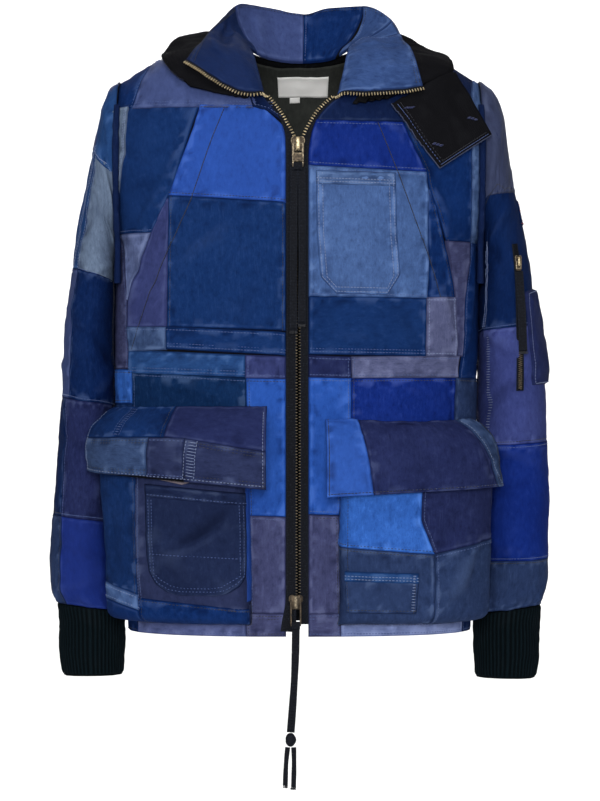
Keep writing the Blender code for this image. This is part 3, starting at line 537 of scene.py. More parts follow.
def patch(pile, cloth, rows, dye, finish, layer, sew, grain, seed):
    """A slab of cloth between the left and right ends of its rows, top row first, in the piece's marks."""
    left, right, upper, lower = edges_of(cloth, rows, 24)
    height = (length_of(left) + length_of(right)) / 2
    width = (length_of(upper) + length_of(lower)) / 2
    if min(height, width) < THIN:
        return
    down, along = [stations(length, EDGE_LINES) for length in (height, width)]
    t = (down * (1 + 2 * SPREAD / height) - SPREAD / height)[:, None]
    s = (along * (1 + 2 * SPREAD / width) - SPREAD / width)[None, :]
    shares = (1 - s) * (1 - t), s * (1 - t), (1 - s) * t, s * t
    ends = upper[0], upper[-1], lower[0], lower[-1]
    corners = sum(share[..., None] * end for share, end in zip(shares, ends))
    left, right = [at_shares(line, t)[:, None] for line in (left, right)]
    upper, lower = [at_shares(line, s)[None] for line in (upper, lower)]
    s, t = s[..., None], t[..., None]
    flat = (1 - s) * left + s * right + (1 - t) * upper + t * lower - corners
    u, v = flat[..., 0], flat[..., 1]
    top, base = (down * height)[:, None], ((1 - down) * height)[:, None]
    near, far = (along * width)[None, :], ((1 - along) * width)[None, :]
    distance = np.minimum(np.minimum(top, base), np.minimum(near, far))
    rise = edge_rise(distance, lift_of(layer), bool(sew))
    pucker = soft(u, v, 0.0062, seed + 5) * np.exp(-((distance - 0.004) / 0.007) ** 2) * (distance > 0.001)
    rise = rise + (0.00055 if sew else 0.00020) * pucker
    places = cloth.at(u, v, rise)
    turn = math.radians(grain)
    spun = np.stack([u * math.cos(turn) - v * math.sin(turn), u * math.sin(turn) + v * math.cos(turn)], -1)
    shift = np.random.default_rng(seed).uniform(0, 3, 2)
    # A pale line of real wear just inside the cut edge and painted shadow right at it; from the folds, pale
    # ridges that are partly wear and partly painted highlight, and painted shade in the troughs; painted
    # light and shade on the puckers.
    rub = 1.0 * np.exp(-((distance - 0.0034) / 0.0012) ** 2) - 2.0 * np.exp(-(distance / 0.0013) ** 2)
    rub = rub + np.clip(150 * cloth.relief(u, v), -1.2, 0.8) + (1.6 if sew else 0.6) * pucker
    pile.grid(places, dye, finish, rub, spun + shift, away=cloth.base(u, v)[1])


def resample(line, pitch):
    """Spots about one pitch apart along a line, and the way that it runs at each."""
    run = run_along(line)
    count = max(1, int(run[-1] / pitch))
    at = (np.arange(count) + 0.5) * run[-1] / count
    spots, ahead, behind = [read_along(at + step, run, line) for step in (0, 0.0002, -0.0002)]
    return spots, unit(ahead - behind)


def threads(pile, middles, ways, away, dye, length=0.0026, width=0.00075, rise=0.0004):
    """Short stitches: each is a small loop of thread that rises out of the cloth and dips back in."""
    across = unit(np.cross(ways, away))
    shares = ((-0.5, 0.45, -0.4), (-0.25, 1.0, 0.5), (0.25, 1.0, 0.5), (0.5, 0.45, -0.4))
    rings = []
    for share, wide, high in shares:
        centre = middles + ways * (length * share) + away * (rise * high)
        half, up = across * (width * wide / 2), away * (rise * wide * 0.6)
        rings.append(np.stack([centre - half, centre + up, centre + half, centre - up], 1))
    points = np.stack(rings, 1).reshape(-1, 3)
    start = pile.count + 16 * np.arange(len(middles))[:, None, None]
    sides = [(4 * r + c, 4 * r + (c + 1) % 4, 4 * r + 4 + (c + 1) % 4, 4 * r + 4 + c)
             for r in range(3) for c in range(4)]
    caps = [(3, 2, 1, 0), (12, 13, 14, 15)]
    quads = start + np.array(sides + caps)[None]
    pile.add(points, quads.reshape(-1, 4), dye)


def stitches(pile, cloth, spots, ways, dye, out, **sizes):
    """Stitches at spots on the cloth, each along its own way."""
    u, v = spots[:, 0], spots[:, 1]
    middles = cloth.at(u, v, out)
    ahead = cloth.at(u + ways[:, 0] * PROBE, v + ways[:, 1] * PROBE, out)
    threads(pile, middles, unit(ahead - middles), cloth.base(u, v)[1], dye, **sizes)


def crosswise(ways):
    """Ways on the cloth, each turned by a quarter."""
    return np.stack([-ways[:, 1], ways[:, 0]], -1)


def seam(pile, cloth, line, dye, out, pitch=0.0034, length=0.0026, across=0.0, **sizes):
    """A row of stitches along a line on the cloth, moved sideways by across."""
    spots, ways = resample(line, pitch)
    stitches(pile, cloth, spots + across * crosswise(ways), ways, dye, out, length=length, **sizes)


def ladder(pile, cloth, line, dye, out, pitch=0.0030, length=0.0042):
    """Stitches that lie across a seam, side by side, as in a darned or overcast join."""
    spots, ways = resample(line, pitch)
    stitches(pile, cloth, spots, crosswise(ways), dye, out, length=length)


def sewn(pile, cloth, rows, sides, dye, out, inset=0.0030):
    """Stitches just inside the sides of a patch: t, b, l and r are single rows, and T, B, L and R double."""
    edges = dict(zip("lrtb", edges_of(cloth, rows)))
    middle = np.concatenate([edges["l"], edges["r"]]).mean(axis=0)
    for letter in sides:
        edge = edges[letter.lower()]
        away = middle - edge.mean(axis=0)
        way = edge[-1] - edge[0]
        inward = math.copysign(1.0, way[0] * away[1] - way[1] * away[0])
        for step in (inset, inset + DOUBLE_ROW)[:2 if letter.isupper() else 1]:
            seam(pile, cloth, edge, dye, out, across=inward * step)


def ground(name, cloth, *ends, wall=CLOTH, ring=False):
    """The closed wall of cloth that carries the patches, its outer face just under them. It is black, so that
    where it shows in the gaps between patches it is painted seam shadow.
    """
    cell = CELL * 1.5
    us, vs = [np.linspace(*pair, max(4, int(abs(pair[1] - pair[0]) / cell)) + 1) for pair in ends]
    pile = Pile()
    closed_wall(pile, cloth, us, vs, DYES["black"], -GROUND_DROP, -wall, ring=ring)
    return pile.make(name, [LINING], "patched_cloth", weld=True)


def rims(*grids, ring=False):
    """The first and last rows of grids that lie over each other, then their columns, if they are no ring."""
    for end in (0, -1):
        yield [grid[end] for grid in grids]
    for end in () if ring else (0, -1):
        yield [grid[:, end] for grid in grids]


def closed_wall(pile, cloth, us, vs, dye, outer, inner, ring=False, ends=None):
    """Two faces and their rims. ends, if given, turns (u, v) into the true ones, for a slanted edge."""
    u, v = np.meshgrid(us[:-1] if ring else us, vs)
    if ends:
        u, v = ends(u, v)
    away = cloth.base(u, v)[1]
    front, back = cloth.at(u, v, outer), cloth.at(u, v, inner)
    flat = np.stack([u, v], -1)
    pile.grid(front, dye, 0, 0.0, flat, ring, away)
    pile.grid(back, dye, 0, 0.0, flat, ring, -away)
    upward, across = (front[-1] - front[0]).mean(axis=0), (front[:, -1] - front[:, 0]).mean(axis=0)
    for way, (one, two, at) in zip((-upward, upward, -across, across), rims(front, back, flat, ring=ring)):
        rim = np.stack([one, two])
        pile.grid(rim, dye, 0, 0.6, np.stack([at, at]), ring, np.broadcast_to(way, rim.shape))


def drawn_in(points, line):
    """A tube's first and last rings, drawn in almost to a point."""
    return [points[end] * 0.02 + line[end] * 0.98 for end in (0, -1)]


def close_tube(pile, points, flat, tips, ways, dye, finish, rub):
    """Both ends of a tube, each closed from its last ring to its tip."""
    for end, tip, way in zip((0, -1), tips, ways):
        cap = np.stack([points[end], tip])
        pile.grid(cap, dye, finish, rub, np.stack([flat[end]] * 2), True, np.broadcast_to(way, cap.shape))


# ---- finishes ----

class Value:
    """One output of a node. Sums and products of values add Math nodes to the same finish."""

    def __init__(self, finish, socket):
        self.finish = finish
        self.socket = socket

    def math(self, operation, *others):
        return self.finish.node("ShaderNodeMath", {"operation": operation}, [self, *others])

    def __add__(self, other):
        return self.math("ADD", other)

    def __mul__(self, other):
        return self.math("MULTIPLY", other)

    def __sub__(self, other):
        return self.math("SUBTRACT", other)

    def __rsub__(self, other):
        return self.finish.node("ShaderNodeMath", {"operation": "SUBTRACT"}, [other, self])

    __radd__ = __add__
    __rmul__ = __mul__

    def between(self, low, high):
        """0 below low, 1 above high, and straight between them."""
        settings = {"clamp": True}
        return self.finish.node("ShaderNodeMapRange", settings,
                                {"Value": self, "From Min": low, "From Max": high})

    def sine(self):
        return self.math("SINE")


class Finish:
    """A material, made node by node, that ends in one Principled shader."""

    def __init__(self, name, **constants):
        self.material = bpy.data.materials.new(name)
        self.material.use_nodes = True
        self.tree = self.material.node_tree
        self.tree.nodes.clear()
        self.shader = self.tree.nodes.new("ShaderNodeBsdfPrincipled")
        end = self.tree.nodes.new("ShaderNodeOutputMaterial")
        self.tree.links.new(self.shader.outputs[0], end.inputs["Surface"])
        for socket, value in constants.items():
            self.shader.inputs[socket.replace("_", " ")].default_value = value

    def node(self, kind, settings=None, inputs=(), output=0):
        """Adds a node: its settings first, then each input by name or number, as a value or a link."""
        made = self.tree.nodes.new(kind)
        for name, value in (settings or {}).items():
            setattr(made, name, value)
        for name, value in inputs.items() if isinstance(inputs, dict) else enumerate(inputs):
            if isinstance(value, Value):
                self.tree.links.new(value.socket, made.inputs[name])
            else:
                made.inputs[name].default_value = value
        return Value(self, made.outputs[output])

    def mix(self, factor, first, second, blend="MIX"):
        """Two colours mixed, or multiplied, lightened and so on, by a factor."""
        settings = {"data_type": "RGBA", "blend_type": blend}
        return self.node("ShaderNodeMix", settings, {0: factor, 6: first, 7: second}, 2)

    def tinted(self, colour, times, plus):
        """A colour multiplied and then raised, number by number."""
        return self.node("ShaderNodeVectorMath", {"operation": "MULTIPLY_ADD"},
                         {0: colour, 1: times, 2: plus})

    def stretch(self, place, x, y, z=1.0):
        return self.node("ShaderNodeVectorMath", {"operation": "MULTIPLY"}, {0: place, 1: (x, y, z)})

    def noise(self, place, scale, detail=2.0, roughness=0.5):
        inputs = {"Vector": place, "Scale": scale, "Detail": detail, "Roughness": roughness}
        return self.node("ShaderNodeTexNoise", {}, inputs)

    def on_cloth(self):
        """Lengths on the cloth, in metres, as the cloth was cut."""
        return self.node("ShaderNodeUVMap", {"uv_map": "cloth"})

    def on_object(self):
        """Lengths in the piece's own frame."""
        return self.node("ShaderNodeTexCoord", {}, (), 3)

    def painted(self, name, output=0):
        return self.node("ShaderNodeAttribute", {"attribute_name": name}, (), output)

    def parts(self, vector):
        x = self.node("ShaderNodeSeparateXYZ", {}, [vector])
        return x, Value(self, x.socket.node.outputs[1]), Value(self, x.socket.node.outputs[2])

    def feed(self, colour=None, roughness=None, height=None, depth=0.0002, strength=0.6, metallic=None):
        """Links what changes over the surface."""
        for socket, value in (("Base Color", colour), ("Roughness", roughness), ("Metallic", metallic)):
            if value is not None:
                self.tree.links.new(value.socket, self.shader.inputs[socket])
        if height is not None:
            bump = self.node("ShaderNodeBump", {},
                             {"Strength": strength, "Distance": depth, "Height": height})
            self.tree.links.new(bump.socket, self.shader.inputs["Normal"])
        return self.material


def dyed(red, green, blue):
    """A dye from the three numbers of a colour card, 0 to 255."""
    card = np.array([red, green, blue]) / 255
    return tuple(np.where(card <= 0.04045, card / 12.92, ((card + 0.055) / 1.055) ** 2.4))


def woven(name, pitch, diagonal, streak, mottle, fade, slub, rough=0.88, gloss=0.06):
    """Dyed cloth: fine threads, streaks along the warp, clouds of wear, pale worn edges with painted
    highlight on ridges and puckers, and painted shade in creases and at patch edges.
    """
    finish = Finish(name, Specular_IOR_Level=gloss)
    place = finish.on_cloth()
    across, up, _ = finish.parts(place)
    dye, rub = finish.painted("dye"), finish.painted("rub", 2)
    turn = 2 * math.pi / pitch
    warp = ((across + up * diagonal) * turn).sine()
    weft = ((up - across * (1 - diagonal)) * (turn * 1.07)).sine()
    clouds = finish.noise(place, 20.0, 4.0, 0.6)
    grain = finish.noise(finish.stretch(place, 1.0, 0.20), 1100.0, 2.0, 0.6)
    slubs = finish.noise(finish.stretch(place, 1.0, 0.10), 480.0, 1.0, 0.5)
    flecks = finish.noise(place, 1300.0, 1.0, 0.5)
    blotch = finish.noise(finish.stretch(place, 1.0, 0.55), 190.0, 3.0, 0.7)
    pale = finish.tinted(dye, (1.55, 1.50, 1.40), (0.012, 0.016, 0.024))
    wear_and_highlight_tint = finish.tinted(dye, (1.70, 1.60, 1.45), (0.040, 0.052, 0.075))
    dark = finish.tinted(dye, (0.36, 0.38, 0.44), (0.0, 0.0, 0.0))
    # The pale mask is real wear at edges and rims plus painted highlight on fold ridges and puckers, its
    # strength set by fade; the dark mask is painted shade in fold troughs and puckers and painted shadow
    # along each patch's edge.
    wear_and_highlight = (rub * (0.40 + clouds)).between(0.25, 1.20) * fade
    painted_shade = (rub * (clouds - 1.5)).between(0.15, 1.30) * 0.85
    specks = slubs.between(0.58, 0.85) * (slub * 0.45) + flecks.between(0.58, 0.78) * (streak * 0.40)
    colour = finish.mix(clouds.between(0.56, 0.30) * mottle, dye, dark)
    colour = finish.mix(clouds.between(0.52, 0.76) * (mottle * 0.6), colour, pale)
    colour = finish.mix(grain.between(0.50, 0.25) * (streak * 0.55), colour, dark)
    colour = finish.mix(blotch.between(0.50, 0.28) * (0.25 + streak * 0.45), colour, dark)
    colour = finish.mix(blotch.between(0.55, 0.75) * (0.20 + streak * 0.40), colour, pale)
    colour = finish.mix(specks.between(0.0, 1.0), colour, pale)
    colour = finish.mix(wear_and_highlight, colour, wear_and_highlight_tint)
    colour = finish.mix(painted_shade, colour, dark)
    colour = finish.mix((1 - weft.between(-0.6, 1.0)) * 0.16, colour, dark)
    height = warp * 0.32 + weft * 0.16 + slubs * 0.9 * slub + grain * 0.9 + flecks * 0.35 + blotch * 2.2
    roughness = rough - clouds.between(0.3, 0.8) * 0.06
    return finish.feed(colour, roughness, height, depth=0.00028, strength=0.55)


def knitted(name, rib=0.0):
    """Dark wool or rib: matt, with a little lint, and painted shade between the ribs."""
    finish = Finish(name, Specular_IOR_Level=0.03)
    place = finish.on_cloth()
    across, up, _ = finish.parts(place)
    dye, rub = finish.painted("dye"), finish.painted("rub", 2)
    loops = (across * 3100.0).sine() * (up * 2300.0 + (across * 3100.0).sine() * 0.9).sine()
    fuzz = finish.noise(place, 700.0, 3.0, 0.65)
    clouds = finish.noise(place, 30.0, 3.0, 0.55)
    lint = fuzz.between(0.66, 0.80) * 0.10 + clouds.between(0.50, 0.85) * 0.08
    colour = finish.mix(lint, dye, (0.06, 0.065, 0.075, 1))
    # painted shade: the low parts between the ribs, as the cuff marks them, are darkened
    colour = finish.mix((0.9 - rub).between(0.0, 1.0) * rib, colour, (0.0010, 0.0012, 0.0016, 1))
    colour = finish.mix(loops.between(0.2, -0.8) * 0.3, colour, (0.002, 0.002, 0.003, 1))
    height = loops * 0.5 + fuzz * 1.1
    return finish.feed(colour, 0.94 - fuzz * 0.06, height, depth=0.00045, strength=0.6)


def plain_cotton(name):
    """Undyed cotton tape: faint threads and hardly any colour."""
    finish = Finish(name, Sheen_Weight=0.05, Specular_IOR_Level=0.15, Roughness=0.9)
    place = finish.on_cloth()
    across, up, _ = finish.parts(place)
    threads_of = (across * 5200.0).sine() * 0.5 + (up * 4800.0).sine() * 0.5
    clouds = finish.noise(place, 60.0, 3.0, 0.55)
    colour = finish.mix(clouds.between(0.45, 0.8) * 0.15, finish.painted("dye"), (0.80, 0.78, 0.72, 1))
    return finish.feed(colour, None, threads_of, depth=0.00012)


def thread_finish():
    finish = Finish("sewing_thread", Specular_IOR_Level=0.3, Sheen_Weight=0.15)
    place = finish.on_object()
    twist = finish.noise(place, 2600.0, 1.0, 0.5)
    dye = finish.painted("dye")
    colour = finish.mix(twist.between(0.62, 0.35) * 0.5, dye, (0.01, 0.012, 0.02, 1))
    return finish.feed(colour, 0.55 + twist * 0.2, twist, depth=0.00012)


def brass(name, bright, dull, rough):
    """Aged metal: rubbed bright, with dark tarnish in clouds."""
    finish = Finish(name, Specular_IOR_Level=0.5)
    place = finish.on_object()
    clouds = finish.noise(place, 420.0, 3.0, 0.6)
    fine = finish.noise(place, 3800.0, 2.0, 0.6)
    tarnish = clouds.between(0.36, 0.66)
    colour = finish.mix(tarnish * 0.85, bright, dull)
    roughness = rough + tarnish * 0.22 + fine * 0.12
    return finish.feed(colour, roughness, fine, depth=0.00008, strength=0.5, metallic=0.92 - tarnish * 0.35)


def webbing(name, ribs_across, ribs_up):
    """Tape and ribbon: fine ribs across, a faint gloss."""
    finish = Finish(name, Specular_IOR_Level=0.12)
    place = finish.on_cloth()
    across, up, _ = finish.parts(place)
    dye, rub = finish.painted("dye"), finish.painted("rub", 2)
    ribs = (up * ribs_up).sine()
    lines = (across * ribs_across).sine()
    fuzz = finish.noise(place, 500.0, 2.0, 0.6)
    colour = finish.mix(fuzz.between(0.5, 0.8) * 0.22 + rub * 0.2, dye, (0.05, 0.06, 0.085, 1))
    colour = finish.mix(ribs.between(0.1, -1.0) * 0.35, colour, (0.003, 0.003, 0.005, 1))
    return finish.feed(colour, 0.62 + fuzz * 0.2, ribs * 0.8 + lines * 0.3 + fuzz, depth=0.00030)


DENIM = woven("worn_denim", pitch=0.0011, diagonal=1.0, streak=0.80, mottle=0.35, fade=0.60, slub=0.70)
TWILL = woven("cotton_twill", pitch=0.0009, diagonal=0.8, streak=0.45, mottle=0.30, fade=0.45, slub=0.30)
CANVAS = woven("slub_canvas", pitch=0.0013, diagonal=0.0, streak=0.70, mottle=0.25, fade=0.50, slub=0.90)
SATEEN = woven("smooth_sateen", pitch=0.0007, diagonal=0.5, streak=0.25, mottle=0.22, fade=0.38, slub=0.10,
               rough=0.70, gloss=0.14)
CORDED = woven("corded_cotton", pitch=0.0019, diagonal=0.0, streak=0.90, mottle=0.25, fade=0.50, slub=0.45)
LINING = woven("black_lining", pitch=0.0010, diagonal=1.0, streak=0.25, mottle=0.25, fade=0.05,
               slub=0.20, gloss=0.03)
LABEL = plain_cotton("label_cotton")
FABRICS = [DENIM, TWILL, CANVAS, SATEEN, CORDED]
D, T, C, S, K = range(5)                # numbers of the fabrics, as the tables of patches give them
RIB = knitted("black_rib_knit", rib=0.75)
WOOL = knitted("black_wool")
THREAD = thread_finish()
BRASS = brass("zip_brass", (0.80, 0.66, 0.40, 1), (0.16, 0.11, 0.06, 1), rough=0.30)
# Darker metals: real patina on the sliders and pulls, and painted shade on the lower slider, its pull and the
# closed front teeth.
DARK_BRONZE = brass("dark_bronze", (0.10, 0.075, 0.05, 1), (0.022, 0.018, 0.015, 1), rough=0.42)
AGED_AND_SHADED_BRASS = brass("slider_brass", (0.30, 0.24, 0.16, 1), (0.045, 0.038, 0.030, 1), rough=0.36)
TAPE = webbing("zip_webbing", 2300.0, 3300.0)
RIBBON = webbing("herringbone_ribbon", 1500.0, 1900.0)

DYES = {name: dyed(*card) for name, card in {
    "royal": (34, 75, 161), "bright": (50, 99, 184), "mid_blue": (40, 83, 168), "deep_blue": (17, 46, 96),
    "navy": (11, 42, 96), "dark_navy": (8, 33, 79), "ink": (14, 30, 68), "indigo": (16, 41, 119),
    "teal_navy": (10, 40, 80), "slate": (42, 59, 97), "pale_slate": (57, 77, 116),
    "slate_blue": (35, 69, 121), "steel": (100, 116, 140), "denim": (67, 94, 144),
    "light_denim": (69, 96, 146), "pale_denim": (70, 94, 138), "dull_denim": (54, 78, 128),
    "lavender": (62, 76, 124), "mauve_grey": (86, 91, 126), "hem_lavender": (116, 130, 176),
    "hem_mauve": (91, 101, 148), "purple": (52, 60, 108), "dark_purple": (34, 42, 84),
    "violet": (58, 68, 126), "dusk": (40, 48, 82), "plum_grey": (65, 69, 106),
    "grey_lavender": (57, 65, 96), "black": (16, 17, 20), "olive_black": (58, 60, 57),
    "wool_black": (18, 18, 21), "rib_black": (12, 23, 28), "pale_thread": (128, 144, 184),
    "blue_thread": (64, 88, 146), "dark_thread": (8, 14, 32), "red_thread": (170, 44, 66),
    "white": (250, 249, 246), "piping": (62, 68, 90), "ribbon_black": (9, 12, 20),
    "tape_black": (7, 10, 18), "bartack": (24, 36, 84), "pale_lining": (116, 106, 112),
    "slate_navy": (27, 38, 70), "pale_lavender": (98, 111, 153),
}.items()}


# ---- fronts and back ----
# Rows of patches are (left x, left z, right x, right z) in millimetres as seen from the front, top row first.
# x = 0 is the edge along the zip, 205 the side seam, and z = 20 the shoulder seam.

SIDE_SEAM, SHOULDER_SEAM = 200, 16
EDGE_BAND = 0.008       # within this of the zip's edge the marks from 0 on are squeezed together
BACK_MIDDLE = 80        # up to here a mark on the back is a plain length


def body_marks(side):
    """From (x, z) in millimetres to lengths across and up the body's cloth."""
    name = NAME[side]

    def marks(x, z):
        x, z = np.abs(x) * MM, z * MM
        height = np.where(z >= SHOULDER_SEAM * MM, 0.0, np.minimum(z, 0.0))
        for _ in range(12):
            edge = read(FRONT_EDGE, name, height)
            band = edge + EDGE_BAND
            here = np.minimum(np.where(x < band, edge + x * EDGE_BAND / band, x), ARM_X)
            sloped = z - read(SHOULDER, "height", here) * shoulder_fade(height)
            height = np.where(z >= SHOULDER_SEAM * MM, 0.0, np.minimum(sloped, 0.0))
        share = np.where(x >= SIDE_SEAM * MM, 1.0, np.minimum(here / read(BODY, name, height), 1.0))
        return np.interp(share, SHARES, LENGTHS), np.maximum(height, HEM)

    return marks


def back_place(across, height):
    drop = NECK_BACK_DROP * np.clip(1 - (across / NECK_HALF) ** 2, 0, 1)
    level = height - drop * np.clip(1 + height / CROWN, 0, None) ** 2
    right = body_place(-1, 1, np.abs(across), level)
    left = body_place(1, 1, np.abs(across), level)
    return np.where((across < 0)[..., None], right, left)


def back_marks(x, z):
    """From (x, z) in millimetres, x under 0 on the wearer's right, to lengths on the back's cloth."""
    far = np.maximum(np.abs(x), BACK_MIDDLE)
    right, left = body_marks(-1)(far, z), body_marks(1)(far, z)
    across = np.where(x < 0, right[0], left[0]) * np.sign(x)
    across = np.where(np.abs(x) < BACK_MIDDLE, across * np.abs(x) / BACK_MIDDLE, across)
    return across, np.where(x < 0, right[1], left[1])


# (x0, z0, x1, z1, half width, height, bow): folds of the fronts, ridges over 0 and troughs under it
FOLDS_RIGHT = (
    (-110, -70, -178, -196, 9, 2.6, -5), (-122, -150, -190, -150, 8, -1.6, 4),
    (-60, -180, -132, -236, 14, 1.9, 6), (-30, -225, -100, -300, 15, -1.8, -8),
    (-170, -215, -186, -320, 7, 2.2, 3), (-195, -205, -150, -260, 10, -2.2, 6),
    (-20, -100, -60, -160, 12, 1.4, 5), (-12, -240, -16, -330, 6, 1.5, 2),
    (-150, -328, -60, -336, 5, -1.3, 2), (-185, -352, -70, -384, 12, 2.2, -8),
    (-60, -372, -20, -440, 12, 1.7, -6), (-18, -420, -44, -500, 10, -1.7, 5),
    (-12, -500, -48, -560, 11, 1.8, 4), (-50, -560, -14, -620, 9, -1.6, -4),
    (-30, -590, -32, -634, 6, 1.6, 0), (-198, -96, -150, -128, 9, -2.0, 5),
    (-130, -90, -64, -118, 13, 1.3, -5), (-195, -336, -190, -400, 8, -1.6, 2),
    (-80, -618, -78, -636, 6, -1.4, 0), (-120, -616, -122, -636, 7, 1.2, 0),
    (-96, -240, -70, -296, 9, 1.2, -4),
)
FOLDS_LEFT = (
    (100, -80, 168, -206, 9, 2.6, 5), (112, -138, 180, -150, 8, -1.6, -4),
    (128, -204, 172, -330, 8, 2.2, 4), (30, -92, 96, -118, 12, 1.4, 5), (112, -230, 136, -266, 7, -1.7, 3),
    (18, -288, 92, -322, 11, 1.5, -6), (98, -276, 134, -330, 9, -1.7, 4), (60, -340, 166, -350, 6, -1.4, 3),
    (20, -345, 52, -408, 12, 1.7, 5), (16, -420, 50, -470, 12, -1.8, -6), (14, -470, 40, -540, 10, 1.9, 5),
    (40, -520, 14, -600, 9, -1.7, 5), (22, -590, 26, -634, 6, 1.6, 0), (60, -616, 58, -636, 7, -1.4, 0),
    (100, -617, 104, -636, 6, 1.4, 0), (190, -210, 184, -330, 7, 1.8, 3),
    (175, -120, 130, -150, 9, -1.8, 5), (170, -350, 192, -400, 9, 1.8, -3), (18, -140, 34, -230, 8, 1.2, 3),
    (142, -618, 146, -636, 7, 1.3, 0), (96, -370, 160, -384, 10, 1.6, 6),
)
FOLDS_BACK = (
    (-120, -70, -178, -200, 10, 2.8, 5), (118, -66, 176, -206, 10, 2.8, -5),
    (-150, -140, -60, -170, 13, -2.0, 6), (152, -150, 66, -182, 13, -2.0, -6),
    (-40, -40, -90, -110, 13, 1.7, 5), (44, -44, 92, -120, 13, 1.7, -5),
    (-176, -230, -70, -280, 15, 2.3, 9), (170, -240, 60, -300, 15, 2.3, -9),
    (-120, -330, 20, -350, 15, -2.1, 8), (-10, -380, 150, -360, 15, 2.1, -8),
    (-160, -420, -30, -470, 14, 2.3, 8), (160, -430, 40, -480, 14, -2.3, -8),
    (-110, -520, -100, -632, 10, 2.0, 3), (-40, -540, -46, -633, 9, -1.9, -3),
    (30, -530, 38, -634, 10, 2.0, 3), (96, -540, 90, -634, 9, -1.8, -3), (150, -520, 156, -632, 9, 1.8, 3),
    (-160, -540, -166, -632, 8, -1.8, 3), (-20, -90, 26, -260, 18, 1.5, 5),
    (-186, -300, -150, -400, 10, -2.0, 4), (186, -310, 152, -396, 10, -2.0, -4),
)

# (dye, fabric, layer, seams, grain in degrees, rows)
PATCHES_RIGHT = (
    ("lavender", S, 1, "B", 4, (-152, 20, 0, 20), (-172, -30, 0, -40), (-182, -63, 0, -66)),
    ("navy", D, 0, "r", 90, (-205, 20, -152, 20), (-205, -30, -172, -30), (-205, -62, -182, -61)),
    ("steel", K, 2, "R", 0, (-205, -60, -186, -60), (-205, -90, -188, -90), (-205, -120, -191, -120),
     (-205, -160, -197, -160)),
    ("deep_blue", T, 0, "b", 12, (-205, -57, -107, -59), (-205, -150, -136, -150), (-205, -198, -160, -198)),
    ("royal", S, 1, "tb", 0, (-107, -61, -48, -62), (-113, -86, 0, -84), (-141, -159, 0, -168)),
    ("ink", T, 2, "b", 20, (-56, -44, 0, -44), (-50, -64, 0, -78)),
    ("pale_lavender", C, 1, "b", 0, (-196, -198, -161, -198), (-190, -240, -177, -240),
     (-187, -271, -186, -271)),
    ("plum_grey", K, 0, "r", 90, (-205, -198, -196, -198), (-205, -271, -187, -271),
     (-205, -346, -187, -346)),
    ("purple", T, 0, "", -10, (-143, -162, -141, -162), (-161, -198, -141, -198), (-187, -271, -142, -271),
     (-187, -301, -143, -301)),
    ("pale_slate", D, 1, "t", 0, (-187, -300, -144, -301), (-187, -328, -144, -326)),
    ("deep_blue", C, 1, "lr", 3, (-141, -159, 0, -168), (-143, -301, 0, -306)),
    ("deep_blue", T, 2, "tB", 90, (-144, -301, 0, -308), (-144, -325, 0, -333)),
    ("slate_blue", D, 1, "B", 90, (-187, -326, -58, -332), (-187, -351, -58, -356)),
    ("purple", T, 1, "bl", 0, (-58, -332, 0, -334), (-58, -357, 0, -358)),
    ("bright", D, 1, "tb", 0, (-205, -346, -182, -348), (-205, -384, -182, -384)),
    ("teal_navy", D, 0, "tl", 0, (-182, -350, -57, -357), (-182, -440, -57, -440)),
    ("mid_blue", T, 1, "tl", -6, (-57, -357, 0, -358), (-54, -505, 0, -506)),
    ("plum_grey", C, 1, "tl", 0, (-54, -505, 0, -507), (-53, -610, 0, -611)),
    ("deep_blue", D, 0, "", 0, (-205, -384, -182, -384), (-205, -440, -182, -440)),
    ("teal_navy", D, 0, "", 0, (-205, -440, -57, -440), (-205, -612, -54, -612)),
    ("navy", T, 2, "Tb", 90, (-205, -606, -176, -608), (-205, -640, -176, -640)),
    ("hem_mauve", T, 2, "Tbl", 90, (-176, -608, -57, -611), (-176, -640, -57, -640)),
    ("plum_grey", C, 2, "Tbl", 90, (-57, -610, 0, -611), (-57, -640, 0, -640)),
)
